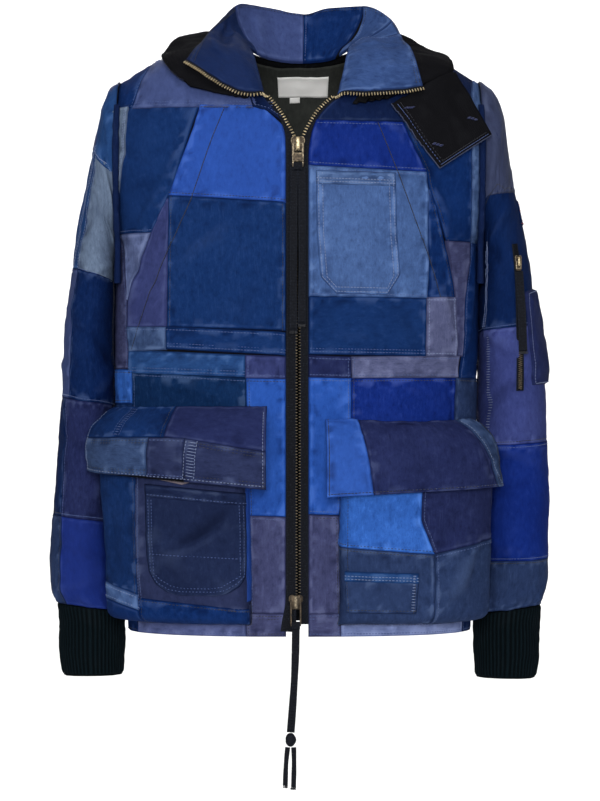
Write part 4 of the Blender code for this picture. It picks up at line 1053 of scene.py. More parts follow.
PATCHES_LEFT = (
    ("ink", T, 0, "", 6, (0, 20, 199, 20), (0, -62, 187, -62), (0, -80, 187, -80)),
    ("indigo", T, 1, "tb", 0, (0, -78, 112, -80), (0, -127, 137, -134)),
    ("navy", T, 1, "l", 14, (112, -80, 187, -80), (137, -134, 187, -134), (141, -154, 187, -154),
     (149, -176, 187, -176), (159, -207, 187, -207)),
    ("denim", D, 1, "tb", 0, (0, -127, 137, -134), (0, -154, 140, -154), (0, -269, 139, -270)),
    ("navy", D, 0, "r", 10, (140, -152, 142, -152), (139, -176, 149, -176), (139, -230, 163, -230),
     (139, -270, 170, -270)),
    ("plum_grey", C, 1, "b", 80, (159, -207, 187, -207), (163, -230, 186, -230), (170, -268, 181, -268),
     (172, -333, 178, -333)),
    ("pale_denim", D, 1, "l", 0, (199, 20, 205, 20), (187, -62, 205, -62), (187, -208, 205, -208)),
    ("navy", T, 0, "l", 0, (187, -207, 205, -207), (181, -268, 205, -268), (178, -333, 205, -333),
     (174, -357, 205, -357)),
    ("slate", D, 1, "t", 0, (170, -356, 205, -357), (170, -440, 205, -440)),
    ("deep_blue", T, 1, "B", 90, (0, -268, 138, -270), (0, -331, 137, -333)),
    ("mauve_grey", C, 2, "tblr", 0, (138, -269, 171, -268), (137, -333, 171, -333)),
    ("dark_purple", T, 1, "tbr", 0, (0, -332, 56, -334), (0, -356, 56, -357)),
    ("mauve_grey", K, 1, "tbl", 90, (56, -334, 175, -332), (57, -357, 172, -356)),
    ("mid_blue", T, 1, "trb", -4, (0, -356, 56, -357), (0, -408, 56, -408), (0, -503, 43, -504)),
    ("indigo", D, 0, "tl", 0, (56, -357, 170, -356), (56, -440, 170, -440)),
    ("navy", D, 0, "", 0, (56, -408, 205, -408), (42, -503, 205, -503), (44, -612, 205, -612)),
    ("plum_grey", C, 1, "tr", 0, (0, -504, 43, -505), (0, -611, 45, -611)),
    ("plum_grey", C, 2, "Tbr", 90, (0, -610, 45, -610), (0, -640, 45, -640)),
    ("hem_lavender", T, 2, "Tb", 90, (45, -610, 178, -610), (45, -640, 178, -640)),
    ("dark_navy", D, 2, "Tbl", 90, (178, -604, 205, -602), (178, -640, 205, -640)),
)
PATCHES_BACK = (
    ("indigo", T, 0, "b", 0, (-205, 20, -70, 20), (-205, -112, -88, -118)),
    ("navy", S, 1, "Bl", 0, (-70, 20, 64, 20), (-88, -118, 60, -122)),
    ("lavender", T, 0, "b", 6, (64, 20, 205, 20), (60, -122, 205, -110)),
    ("deep_blue", C, 1, "br", 0, (-205, -112, -88, -118), (-205, -248, -104, -250)),
    ("denim", D, 1, "tbl", 0, (-88, -118, 18, -121), (-104, -250, 14, -252)),
    ("purple", T, 0, "b", 90, (18, -121, 112, -118), (14, -252, 120, -246)),
    ("royal", S, 1, "tb", 0, (112, -118, 205, -110), (120, -246, 205, -240)),
    ("slate", D, 1, "tr", 0, (-205, -248, -60, -251), (-205, -352, -64, -356)),
    ("navy", T, 0, "", 0, (-60, -251, 62, -251), (-64, -356, 70, -352)),
    ("mauve_grey", K, 1, "tbl", 90, (62, -251, 205, -240), (70, -352, 205, -346)),
    ("teal_navy", D, 0, "t", 0, (-205, -352, -112, -355), (-205, -486, -108, -488)),
    ("bright", D, 1, "tblr", 0, (-112, -355, -6, -355), (-108, -488, -4, -486)),
    ("dark_purple", C, 0, "b", 0, (-6, -355, 96, -350), (-4, -486, 90, -484)),
    ("deep_blue", T, 1, "tbl", 0, (96, -350, 205, -346), (90, -484, 205, -480)),
    ("plum_grey", C, 1, "tr", 0, (-205, -486, -70, -487), (-205, -600, -66, -602)),
    ("navy", D, 0, "t", 0, (-70, -487, 50, -485), (-66, -602, 46, -600)),
    ("hem_lavender", T, 1, "tbl", 0, (50, -485, 205, -480), (46, -600, 205, -598)),
    ("dark_navy", T, 2, "Tb", 90, (-205, -599, -90, -601), (-205, -640, -90, -640)),
    ("plum_grey", C, 2, "Tbl", 90, (-90, -601, 70, -599), (-90, -640, 70, -640)),
    ("slate", D, 2, "Tbl", 90, (70, -599, 205, -597), (70, -640, 205, -640)),
)
YOKE = {                # marks down the seam that bows out from near the neck
    "right": ((-81, -66), (-99, -112), (-117, -165), (-142, -219), (-161, -262), (-183, -325)),
    "left": ((85, -81), (107, -135), (134, -208), (150, -264), (169, -328)),
}
PALE_SEAMS = {"lavender", "slate_blue", "denim", "pale_denim", "mauve_grey", "steel",
              "hem_lavender", "light_denim"}


def thread_for(dye, number):
    """Most rows are sewn in the cloth's own blue, some in pale thread and some in navy."""
    if dye in PALE_SEAMS:
        return DYES["pale_thread" if number % 3 else "blue_thread"]
    return DYES["blue_thread" if number % 2 else "dark_thread"]


def sew_patches(cloth, table_of_patches, seed, layers_under=0):
    """The patches of a table and their stitches, as two piles."""
    pile, sewing = Pile(), Pile()
    for number, (dye, fabric, layer, seams, grain, *rows) in enumerate(table_of_patches):
        layer += layers_under
        patch(pile, cloth, rows, DYES[dye], fabric, layer, seams, grain, seed + number)
        sewn(sewing, cloth, rows, seams, thread_for(dye, number), lift_of(layer) - 0.0002)
    return pile, sewing


def worn_panel(name, patches, seams):
    """What lies on one panel. The wall of black cloth under it takes the place of the solid."""
    pieces = [patches.make(name + "_patches", FABRICS, "patched_cloth"),
              seams.make(name + "_stitches", [THREAD], "patched_cloth")]
    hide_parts(name)
    return pieces


def front(side):
    """One front with its armhole seam, and on the left the chest pocket."""
    name = NAME[side]
    cloth = Cloth(lambda u, v: body_place(side, -1, u, v), (0.1, -0.3), (0, 0, -0.3), body_marks(side),
                  FOLDS_RIGHT if side < 0 else FOLDS_LEFT, 0.0010, 1 if side < 0 else 8)
    wall = Pile()

    def from_zip(u, v):
        edge = np.interp(read(FRONT_EDGE, name, v) / read(BODY, name, v), SHARES, LENGTHS)
        return edge + (SIDE - edge) * u, v

    shares = np.linspace(0, 1, int(SIDE / CELL / 1.5))
    heights = np.linspace(HEM, 0, int(-HEM / CELL / 1.5))
    # black, so that where it shows between the patches it is painted seam shadow
    closed_wall(wall, cloth, shares, heights, DYES["black"], -GROUND_DROP, -CLOTH, ends=from_zip)
    under = wall.make("front_ground_" + name, [LINING], "patched_cloth")
    patches, seams = sew_patches(cloth, PATCHES_RIGHT if side < 0 else PATCHES_LEFT, 100 if side < 0 else 200)
    # overlapping dark stitches make one solid line: real stitching, with the shade of the seam's tuck painted
    # into it
    seam(seams, cloth, cloth.line(*YOKE[name]), DYES["dark_thread"], 0.0013, 0.0028, 0.0030, width=0.0010)
    pieces = worn_panel("front_" + name, patches, seams)
    pieces += [armhole_seam(side), *(chest_pocket(cloth) if side > 0 else ())]
    return cloth


def armhole_seam(side):
    """The rolled seam that fills the groove between body and sleeve, in front and behind."""
    pile = Pile()
    heights = np.linspace(-0.036, -0.252, 90)
    turn = np.linspace(0, 2 * math.pi, 13)[:-1]
    for face in (-1, 1):
        line = body_point(side, face, turn_at(side, 0.190, heights), heights)
        line[:, 0] = side * ARM_X
        line[:, 1] -= face * 0.0035
        thick = 0.0036 + 0.0005 * soft(heights, 0 * heights, 0.009, 3)
        around = np.stack([np.cos(turn), np.sin(turn), 0 * turn], -1)
        points = line[:, None] + around[None] * thick[:, None, None]
        flat = np.stack(np.broadcast_arrays(turn[None] * 0.005, heights[:, None]), -1)
        rub = 0.6 * soft(*np.meshgrid(heights, turn * 0.005, indexing="ij"), 0.006, 2)
        pile.grid(points, DYES["ink"], T, rub, flat, True, np.broadcast_to(around, points.shape))
        close_tube(pile, points, flat, drawn_in(points, line), ((0, 0, 1), (0, 0, -1)), DYES["ink"], T, 0)
    return pile.make("armhole_seam_" + NAME[side], FABRICS, "patched_cloth", weld=True)


def chest_pocket(cloth):
    """A patch pocket with slanted lower corners and a turned hem along its mouth."""
    bag, seams = Pile(), Pile()
    sides = [(18, -134, 104, -136), (19, -200, 106, -205), (23, -248, 109, -246), (40, -266, 95, -267)]
    hem = [(18, -133, 104, -135), (18, -148, 104, -150)]
    patch(bag, cloth, sides, DYES["light_denim"], D, 2, "lrb", 0, 291)
    patch(bag, cloth, hem, DYES["pale_denim"], D, 3, "tb", 90, 292)
    for inset in (0.0026, 0.0072):
        left = [(x + inset / MM, z) for x, z, _, _ in sides[:3]]
        right = [(x - inset / MM, z) for _, _, x, z in sides[:3]]
        foot = [(x, z + inset / MM) for x, z in (sides[3][:2], sides[3][2:])]
        seam(seams, cloth, cloth.line(*left, *foot, *right[::-1]), DYES["pale_thread"], 0.0021)
    sewn(seams, cloth, hem, "B", DYES["pale_thread"], 0.0027)
    made = bag.make("chest_pocket_bag", FABRICS, "patched_cloth")
    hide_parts("chest_pocket")
    return made, seams.make("chest_pocket_stitches", [THREAD], "patched_cloth")


def back():
    """The back, in one piece from side seam to side seam."""
    cloth = Cloth(back_place, (0.1, -0.3), (0, 0, -0.3), back_marks, FOLDS_BACK, 0.0012, 15)
    under = ground("back_ground", cloth, (-SIDE, SIDE), (HEM, 0.0))
    patches, seams = sew_patches(cloth, PATCHES_BACK, 300)
    for side in (-1, 1):
        yoke = [(side * x, z) for x, z in ((92, -20), (112, -110), (140, -200), (170, -300))]
        seam(seams, cloth, cloth.line(*yoke), DYES["dark_thread"], 0.0013)
    pieces = worn_panel("back", patches, seams)
    return cloth


# ---- bellows pockets and their flaps ----

POCKETS = {
    "right": dict(outer=0.984, inner=0.053, low=-0.621, high=-0.440),
    "left": dict(outer=0.976, inner=0.044, low=-0.621, high=-0.452),
}
FLAPS = {
    "right": dict(outer=0.986, inner=0.034, top=-0.388, bottom_outer=-0.456, bottom_inner=-0.476),
    "left": dict(outer=0.964, inner=0.028, top=-0.402, bottom_outer=-0.474, bottom_inner=-0.484),
}
WALL_REACH = 0.016      # over which a pocket's side rises to its full depth
FLAP_LENGTH = 0.078
POCKET_INSET = 0.004    # of the seam round a pocket, from its edge
FLAP_INSET = 0.003      # of the seam round a flap
OVER_MOUTH = 0.02       # lengths are known a little past a pocket's mouth

POCKET_RIGHT = (
    ("deep_blue", D, 0, "r", 0, (-230, -430, -173, -430), (-230, -576, -177, -590)),
    ("dusk", T, 0, "l", 0, (-174, -430, -40, -430), (-178, -560, -40, -560), (-176, -602, -40, -612)),
    ("pale_lining", C, 1, "", 0, (-174, -446, -104, -456), (-168, -460, -110, -467),
     (-150, -465, -124, -471)),
    ("royal", S, 2, "", 0, (-57, -470, -53, -470), (-58, -596, -54, -596)),
    ("light_denim", D, 1, "tb", 20, (-230, -574, -177, -590), (-230, -592, -177, -607)),
    ("navy", T, 0, "", 0, (-230, -592, -177, -607), (-230, -630, -177, -630)),
    ("navy", D, 1, "tl", 0, (-177, -593, -56, -604), (-177, -630, -56, -630)),
    ("dusk", C, 0, "", 0, (-56, -598, -40, -598), (-56, -630, -40, -630)),
)
BAG_RIGHT = (
    ("slate_navy", T, 0, "", 0, (-164, -471, -58, -481), (-165, -545, -58, -549), (-163, -566, -59, -568),
     (-156, -578, -65, -579), (-144, -586, -78, -587), (-132, -589, -92, -589)),
    ("slate_navy", T, 1, "b", 90, (-164, -470, -58, -480), (-163, -484, -58, -494)),
)
POCKET_LEFT = (
    ("bright", D, 1, "b", 0, (30, -440, 132, -440), (30, -512, 131, -510), (30, -536, 147, -546)),
    ("dark_purple", C, 0, "l", 0, (132, -440, 225, -440), (131, -510, 225, -505), (147, -546, 225, -528)),
    ("slate", D, 0, "t", 0, (30, -536, 147, -546), (30, -630, 147, -630)),
    ("slate", D, 1, "tl", 0, (147, -546, 225, -528), (147, -630, 225, -630)),
)
BAG_LEFT = (
    ("slate", T, 0, "lrb", 0, (50, -570, 129, -573), (52, -607, 127, -609)),
    ("slate_blue", T, 1, "B", 90, (50, -563, 129, -566), (50, -574, 129, -577)),
)
FLAP_RIGHT = (
    ("deep_blue", D, 1, "r", 0, (-230, -380, -132, -380), (-230, -420, -132, -420)),
    ("dark_purple", T, 0, "", 90, (-132, -380, -20, -380), (-132, -420, -20, -438)),
    ("pale_slate", D, 1, "TB", 90, (-230, -420, -146, -420), (-230, -456, -146, -461)),
    ("dusk", T, 1, "tb", 90, (-146, -420, -112, -422), (-146, -462, -112, -465)),
    ("dusk", C, 1, "TBr", 90, (-112, -422, -20, -438), (-112, -468, -20, -482)),
)
FLAP_LEFT = (
    ("mid_blue", S, 1, "bl", 4, (10, -395, 62, -395), (10, -450, 70, -450), (10, -490, 75, -490)),
    ("dark_purple", C, 0, "b", 0, (62, -395, 169, -395), (70, -450, 179, -450), (75, -490, 186, -490)),
    ("pale_slate", D, 1, "lbr", 0, (169, -395, 225, -395), (179, -450, 225, -450), (186, -490, 225, -490)),
)
FOLDS_POCKET_RIGHT = (
    (-150, -540, -66, -490, 6, -6.5, 6), (-162, -520, -100, -584, 12, 2.2, 5),
    (-100, -470, -72, -540, 11, 1.9, -4), (-172, -470, -176, -600, 8, 1.6, 2),
    (-196, -470, -200, -580, 9, -1.9, 4), (-140, -598, -70, -606, 8, -1.6, 3),
    (-146, -552, -70, -508, 7, 2.6, 5), (-90, -560, -66, -600, 8, 1.6, 3),
)
FOLDS_POCKET_LEFT = (
    (192, -524, 152, -606, 8, 2.8, 5), (184, -500, 150, -560, 11, -2.6, -5),
    (60, -500, 128, -536, 12, 1.8, 6), (58, -478, 60, -600, 9, -1.6, 4), (100, -488, 118, -528, 9, -1.5, 4),
    (148, -560, 146, -616, 7, 1.5, 2), (70, -548, 122, -552, 7, -1.5, 3), (172, -540, 176, -612, 9, 1.7, 3),
)
FOLDS_FLAP_RIGHT = (
    (-190, -392, -70, -408, 10, -1.6, 4), (-160, -440, -60, -448, 11, 1.6, -5),
    (-64, -404, -50, -452, 8, -2.6, 4), (-206, -400, -212, -444, 8, 1.8, 3),
    (-120, -398, -126, -446, 11, 1.3, 4), (-92, -430, -84, -470, 9, -1.5, 2),
)
FOLDS_FLAP_LEFT = (
    (52, -420, 76, -470, 9, 1.8, 4), (110, -416, 150, -462, 12, -2.2, -6),
    (60, -410, 150, -404, 10, -1.5, 4), (164, -414, 172, -470, 8, 1.6, 3), (90, -430, 98, -474, 11, 1.4, 4),
    (186, -420, 192, -466, 7, -1.6, 3),
)


class Bellows:
    """A pocket that stands off the body: lengths on its flat cloth against lengths on the body under it."""

    def __init__(self, carrier, side, size):
        self.carrier = carrier
        self.inner = size["inner"] / read(BODY, NAME[side], -0.53)
        self.inner = float(np.interp(self.inner, SHARES, LENGTHS))
        self.outer = float(np.interp(size["outer"], SHARES, LENGTHS))
        dense = (1 - np.cos(np.linspace(0, math.pi, 240))) / 2
        self.under_u = self.inner + (self.outer - self.inner) * dense
        self.flat_u = length_along(self.under_u, POCKET_DEPTH * self.wall(self.under_u))
        self.under_v = size["low"] + (size["high"] + OVER_MOUTH - size["low"]) * dense
        self.low = self.under_v[0]
        self.flat_v = length_along(self.under_v, POCKET_DEPTH * self.floor(self.under_v))
        middle = np.full_like(self.flat_u, self.flat_v[-1] * 0.6)
        self.seen_x = np.maximum.accumulate(np.abs(self.place(self.flat_u, middle)[:, 0]))

    def rise(self, distance):
        return (1 - (1 - np.clip(distance / WALL_REACH, 0, 1)) ** 3) ** 0.42

    def wall(self, u):
        return self.rise(np.minimum(u - self.inner, self.outer - u))

    def floor(self, v):
        return self.rise(v - self.low)

    def place(self, u, v):
        u = np.interp(u, self.flat_u, self.under_u)
        v = np.interp(v, self.flat_v, self.under_v)
        point, away = self.carrier.base(u, v)
        return point + away * (GAP + PATCH + POCKET_DEPTH * self.wall(u) * self.floor(v))[..., None]

    def marks(self, x, z):
        v = self.carrier.marks(x, z)[1]
        return np.interp(np.abs(x) * MM, self.seen_x, self.flat_u), np.interp(v, self.under_v, self.flat_v)


class Flap:
    """A flap that rises off the body below its top seam and then hangs."""

    def __init__(self, carrier, side, size):
        self.carrier = carrier
        half = read(BODY, NAME[side], -0.43)
        self.inner = float(np.interp(size["inner"] / half, SHARES, LENGTHS))
        self.outer = float(np.interp(size["outer"], SHARES, LENGTHS))
        self.size = size
        self.share = np.linspace(0, 1, 200) ** 1.5
        self.flat = length_along(self.share * FLAP_LENGTH, FLAP_RISE * self.lift(self.share))

    def lift(self, share):
        return 1.015 * (1 - (1 - share) ** 4) - 0.015

    def bottom(self, u):
        ends = (self.size["bottom_inner"], self.size["bottom_outer"])
        return np.interp(u, (self.inner, self.outer), ends)

    def place(self, u, v):
        share = np.interp(-v, self.flat, self.share)
        height = self.size["top"] + (self.bottom(u) - self.size["top"]) * share
        point, away = self.carrier.base(u, height)
        return point + away * (GAP + CLOTH + FLAP_RISE * self.lift(share))[..., None]

    def marks(self, x, z):
        u, v = self.carrier.marks(x, z)
        u = np.clip(u, self.inner, self.outer)
        share = (self.size["top"] - v) / (self.size["top"] - self.bottom(u))
        return u, -np.interp(share, self.share, self.flat)


def cargo_pocket(side, carrier):
    """A bellows pocket on a front, and the small patch pocket on its face."""
    name = NAME[side]
    seed = 400 if side < 0 else 440
    form = Bellows(carrier, side, POCKETS[name])
    folds = FOLDS_POCKET_RIGHT if side < 0 else FOLDS_POCKET_LEFT
    cloth = Cloth(form.place, (0.09, 0.09), (0, 0, -0.5), form.marks, folds, 0.0011, seed, 1.25)
    wide, tall = form.flat_u[-1], form.flat_v[-1]
    mouth = tall - OVER_MOUTH
    under = ground("pocket_ground_" + name, cloth, (0, wide), (0, mouth), wall=PATCH + 0.0004)
    patches, seams = sew_patches(cloth, POCKET_RIGHT if side < 0 else POCKET_LEFT, seed)
    left, right = POCKET_INSET, wide - POCKET_INSET
    outline = [(left, mouth), (left, POCKET_INSET), (right, POCKET_INSET), (right, mouth)]
    seam(seams, cloth, np.array(outline), DYES["dark_thread"], 0.0012)
    top_x, low_x, dye = (-173, -176, "blue_thread") if side < 0 else (52, 53, "dark_thread")
    seam(seams, cloth, cloth.line((top_x, -470), (low_x, -606)), DYES[dye], 0.0012)     # a joining seam
    pieces = worn_panel("cargo_pocket_" + name, patches, seams)
    bag, bag_seams = sew_patches(cloth, BAG_RIGHT if side < 0 else BAG_LEFT, seed + 20, 3)
    if side < 0:
        for inset in (3.0, 6.5):
            left, right, foot = -164 + inset, -58 - inset, -588 + inset
            outline = [(left, -486), (left, -566), (left + 7, foot + 9), (left + 19, foot + 2),
                       (left + 32, foot), (right - 32, foot), (right - 19, foot + 2), (right - 7, foot + 9),
                       (right, -568), (right, -492)]
            seam(bag_seams, cloth, cloth.line(*outline), DYES["blue_thread"], 0.0022)
        seam(bag_seams, cloth, cloth.line((-162, -545), (-60, -550)), DYES["blue_thread"], 0.0022)
    else:
        ladder(bag_seams, cloth, cloth.line((124, -567), (123, -607)), DYES["pale_thread"], 0.0024)
    made = bag.make("patch_pocket_" + name + "_bag", FABRICS, "patched_cloth")
    sewing = bag_seams.make("patch_pocket_" + name + "_stitches", [THREAD], "patched_cloth")
    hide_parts("patch_pocket_" + name)
    flat = (0.21, 0.21) if side < 0 else (0.20, 0.20)


def cargo_flap(side, carrier):
    """The flap that hangs over a bellows pocket's mouth."""
    name = NAME[side]
    seed = 470 if side < 0 else 490
    form = Flap(carrier, side, FLAPS[name])
    folds = FOLDS_FLAP_RIGHT if side < 0 else FOLDS_FLAP_LEFT
    cloth = Cloth(form.place, (0.12, -0.05), (0, 0, -0.43), form.marks, folds, 0.0016, seed, 1.25)
    ends = (form.inner, form.outer), (-form.flat[-1], 0.0)
    under = ground("flap_ground_" + name, cloth, *ends, wall=CLOTH + 0.0004)
    patches, seams = sew_patches(cloth, FLAP_RIGHT if side < 0 else FLAP_LEFT, seed)
    (inner, outer), (low, _) = ends
    inner, outer, low = inner + FLAP_INSET, outer - FLAP_INSET, low + FLAP_INSET
    rim = [(inner, -0.012), (inner, low), (outer, low), (outer, -0.012)]
    seam(seams, cloth, np.array(rim), DYES["pale_thread" if side < 0 else "dark_thread"], 0.0013)
    if side < 0:
        for x in (-178, -172):
            seam(seams, cloth, cloth.line((x, -390), (x, -418)), DYES["blue_thread"], 0.0014)
        ladder(seams, cloth, cloth.line((-175, -390), (-175, -418)), DYES["blue_thread"],
               0.0014, length=0.0055)
        ladder(seams, cloth, cloth.line((-104, -425), (-107, -463)), DYES["pale_thread"],
               0.0016, length=0.0090)
        for x in (-110, -100):
            seam(seams, cloth, cloth.line((x, -424), (x - 3, -465)), DYES["pale_thread"], 0.0016)
    else:
        seam(seams, cloth, cloth.line((172, -404), (180, -450), (187, -474)), DYES["pale_thread"], 0.0018)
    pieces = worn_panel("cargo_flap_" + name, patches, seams)


# ---- sleeves and cuffs ----
# Marks are (hundredths of a turn, height in millimetres). 0 is the outer edge, 25 the
# middle of the front, 50 the inner edge and -25 the middle of the back.

AROUND = 0.0036         # length that one hundredth of a turn stands for
TURN = 100 * AROUND
FRONT_MIDDLE = 25 * AROUND

SLEEVE_PATCHES_RIGHT = (
    ("mauve_grey", S, 1, "br", 4, (-14, -20, 6, -20), (-14, -98, 10, -104)),
    ("slate_blue", T, 1, "br", 10, (5, -20, 32, -20), (9, -103, 32, -140)),
    ("slate_blue", D, 0, "r", 0, (-14, -98, 16, -106), (-12, -232, 16, -236)),
    ("steel", C, 0, "lb", 3, (15, -20, 50, -20), (16, -140, 50, -216), (16, -238, 50, -254)),
    ("lavender", T, 0, "b", 0, (-14, -231, 16, -237), (-12, -374, 16, -378)),
    ("dark_navy", D, 1, "Rb", 0, (16, -236, 50, -252), (16, -378, 50, -390)),
    ("dark_navy", D, 0, "b", 0, (-12, -374, 14, -377), (-12, -508, 15, -510)),
    ("dark_purple", K, 1, "bl", 0, (14, -378, 50, -388), (15, -510, 50, -520)),
    ("slate", T, 1, "r", 0, (-12, -508, 15, -510), (-12, -622, 15, -622)),
    ("indigo", S, 0, "", 0, (15, -510, 50, -520), (15, -622, 50, -622)),
    ("purple", S, 0, "", 6, (-50, -20, -14, -20), (-50, -126, -14, -98)),
    ("navy", T, 1, "tr", 0, (-50, -126, -14, -98), (-50, -250, -13, -231)),
    ("denim", D, 0, "b", 0, (-50, -250, -12, -231), (-50, -380, -12, -374)),
    ("deep_blue", D, 1, "tb", 0, (-50, -380, -12, -374), (-50, -500, -12, -506)),
    ("plum_grey", C, 0, "", 0, (-50, -500, -12, -507), (-50, -622, -12, -622)),
)
SLEEVE_PATCHES_LEFT = (
    ("grey_lavender", S, 1, "b", 6, (-12, -20, 40, -20), (-12, -146, 36, -158)),
    ("dark_navy", T, 0, "b", 0, (-12, -140, 50, -20), (-12, -200, 50, -222), (-12, -292, 50, -306)),
    ("dark_navy", D, 2, "l", 0, (2, -160, 9, -160), (2, -186, 9, -188)),
    ("dark_navy", K, 1, "l", 0, (38, -204, 50, -206), (38, -300, 50, -304)),
    ("violet", T, 0, "b", 0, (-10, -292, 50, -306), (-10, -424, 50, -432)),
    ("indigo", T, 1, "tb", 0, (-10, -424, 50, -432), (-10, -556, 50, -562)),
    ("slate", D, 0, "t", 0, (-10, -556, 50, -562), (-10, -624, 50, -624)),
    ("royal", T, 0, "b", 6, (-50, -20, -12, -20), (-50, -176, -12, -142)),
    ("slate_blue", D, 1, "trb", 0, (-50, -176, -12, -142), (-50, -300, -12, -292)),
    ("dark_purple", C, 0, "b", 0, (-50, -300, -10, -292), (-50, -430, -10, -424)),
    ("bright", D, 1, "tr", 0, (-50, -430, -10, -424), (-50, -530, -10, -530)),
    ("navy", T, 0, "t", 0, (-50, -530, -10, -530), (-50, -624, -10, -624)),
)
FOLDS_SLEEVE_RIGHT = (
    (6, -110, 44, -150, 11, 2.0, 6), (40, -170, 8, -230, 12, -2.2, 6), (46, -232, 14, -290, 12, 2.3, -8),
    (12, -300, 46, -340, 10, -2.2, 6), (48, -330, 10, -396, 11, 2.1, 8), (4, -420, 44, -452, 9, -1.8, 5),
    (46, -450, 12, -510, 10, 1.9, 6), (6, -540, 46, -566, 8, -1.7, 4), (44, -560, 6, -600, 8, 1.9, 4),
    (24, -592, 27, -620, 7, 1.8, 0), (34, -594, 35, -620, 6, -1.5, 0), (12, -596, 10, -620, 6, 1.6, 0),
    (-8, -150, -44, -210, 12, 2.2, 6), (-42, -250, -10, -320, 13, -2.4, 6),
    (-12, -340, -46, -400, 12, 2.2, 6), (-44, -430, -8, -480, 11, -2.0, 5),
    (-10, -520, -42, -560, 9, 1.9, 4), (-25, -592, -27, -620, 7, 1.7, 0), (-10, -340, 20, -352, 9, 1.7, 4),
    (-38, -594, -37, -620, 6, 1.5, 0), (2, -60, 30, -120, 11, 1.7, 5), (14, -270, 30, -330, 9, 1.4, 3),
    (28, -410, 33, -500, 10, 1.4, 5),
)
FOLDS_SLEEVE_LEFT = (
    (30, -60, 44, -176, 9, -3.2, 6), (8, -60, 40, -130, 12, 2.2, -6), (6, -170, 40, -215, 11, 2.0, 6),
    (44, -210, 20, -270, 11, -2.1, 6), (46, -296, 16, -350, 12, 2.3, -8), (14, -356, 46, -402, 10, -2.1, 6),
    (46, -400, 12, -458, 11, 2.2, 8), (10, -470, 44, -500, 9, -1.8, 5), (44, -520, 8, -566, 10, 1.9, 6),
    (8, -584, 44, -600, 8, -1.5, 4), (24, -596, 27, -620, 7, 1.8, 0), (34, -598, 35, -622, 6, -1.5, 0),
    (12, -598, 10, -622, 6, 1.6, 0), (-8, -130, -44, -190, 12, 2.2, 6), (-42, -230, -10, -300, 13, -2.4, 6),
    (-12, -330, -46, -390, 12, 2.2, 6), (-44, -420, -8, -470, 11, -2.0, 5),
    (-10, -510, -42, -556, 9, 1.9, 4), (-25, -596, -27, -620, 7, 1.7, 0), (4, -430, 36, -444, 8, 1.3, 3),
    (20, -380, 30, -440, 9, 1.3, -4),
)
SLEEVE_SEAMS_RIGHT = (
    (False, "pale_thread", (13, -100), (12, -170), (10, -234)), (False, "blue_thread", (46, -40), (46, -230)),
    (False, "dark_thread", (43, -250), (44, -600)), (False, "dark_thread", (-40, -130), (-42, -600)),
)
SLEEVE_SEAMS_LEFT = (
    (True, "pale_thread", (37, -310), (38, -424)), (False, "dark_thread", (40, -440), (41, -610)),
    (False, "dark_thread", (-40, -130), (-42, -600)), (False, "pale_thread", (38, -206), (38, -300)),
)
CUFF_RIBS = 52
CUFF_COLUMNS = CUFF_RIBS * 8
CUFF_ROWS = 40


def squared(wave, power):
    """A sine or cosine swollen towards a square, its sign kept."""
    return np.sign(wave) * np.abs(wave) ** power


def tube_place(of, side, drop=0.0):
    """A sleeve or a cuff as a function of length around and height of its outer edge."""
    steps = column(of, "step")
    outer_z = column(of, "out_z") - drop

    def place(u, v):
        angle = u / AROUND * math.pi / 50
        step = np.interp(-v, -outer_z, steps)
        outer, inner = [np.stack([read(of, x, step), 0 * step, read(of, z, step) - drop], -1)
                        for x, z in (("out_x", "out_z"), ("in_x", "in_z"))]
        forward, across = [squared(wave(angle), 2 / SLEEVE_SQUARENESS) for wave in (np.sin, np.cos)]
        point = (outer + inner) / 2 + across[..., None] * (outer - inner) / 2
        point[..., 1] += read(of, "middle", step) - read(of, "depth", step) * forward
        return point * (side, 1, 1)

    return place


def tube_marks(place, low, top):
    """From (hundredths of a turn, height in millimetres as it is seen there) to lengths on a tube's cloth."""

    def marks(x, z):
        u, z = x * AROUND + 0 * z, z * MM + 0 * x
        v = np.clip(z, low, top)
        for _ in range(14):
            v = np.clip(v + 0.8 * (z - place(u, v)[..., 2]), low, top)
        return u, v

    return marks


def sleeve(side):
    """A sleeve, patched all round."""
    name = NAME[side]
    of = SLEEVE_RIGHT if side < 0 else SLEEVE_LEFT
    folds = FOLDS_SLEEVE_RIGHT if side < 0 else FOLDS_SLEEVE_LEFT
    top, low = column(of, "out_z")[0], column(of, "out_z")[-1]
    middle = (side * 0.235, 0.01, -0.3)
    place = tube_place(of, side)
    cloth = Cloth(place, (FRONT_MIDDLE, -0.3), middle, tube_marks(place, low, top), folds, 0.0013, 30 + side,
                  turn=TURN)
    under = ground("sleeve_ground_" + name, cloth, (0.0, TURN), (low, top), ring=True)
    patches, seams = sew_patches(cloth, SLEEVE_PATCHES_RIGHT if side < 0 else SLEEVE_PATCHES_LEFT,
                                 500 + 50 * side)
    for overcast, dye, *places in SLEEVE_SEAMS_RIGHT if side < 0 else SLEEVE_SEAMS_LEFT:
        line = cloth.line(*places)
        if overcast:
            ladder(seams, cloth, line, DYES[dye], 0.0011, length=0.0070)
        else:
            seam(seams, cloth, line, DYES[dye], 0.0013)
            seam(seams, cloth, line, DYES[dye], 0.0013, across=0.0042)
    if side > 0:
        for height, first, last in ((-163, 2, 9), (-170, 3, 10), (-184, 2, 10)):
            seam(seams, cloth, cloth.line((first, height), (last, height - 2)), DYES["red_thread"],
                 0.0022, length=0.0030)
    pieces = worn_panel("sleeve_" + name, patches, seams)
    return cloth


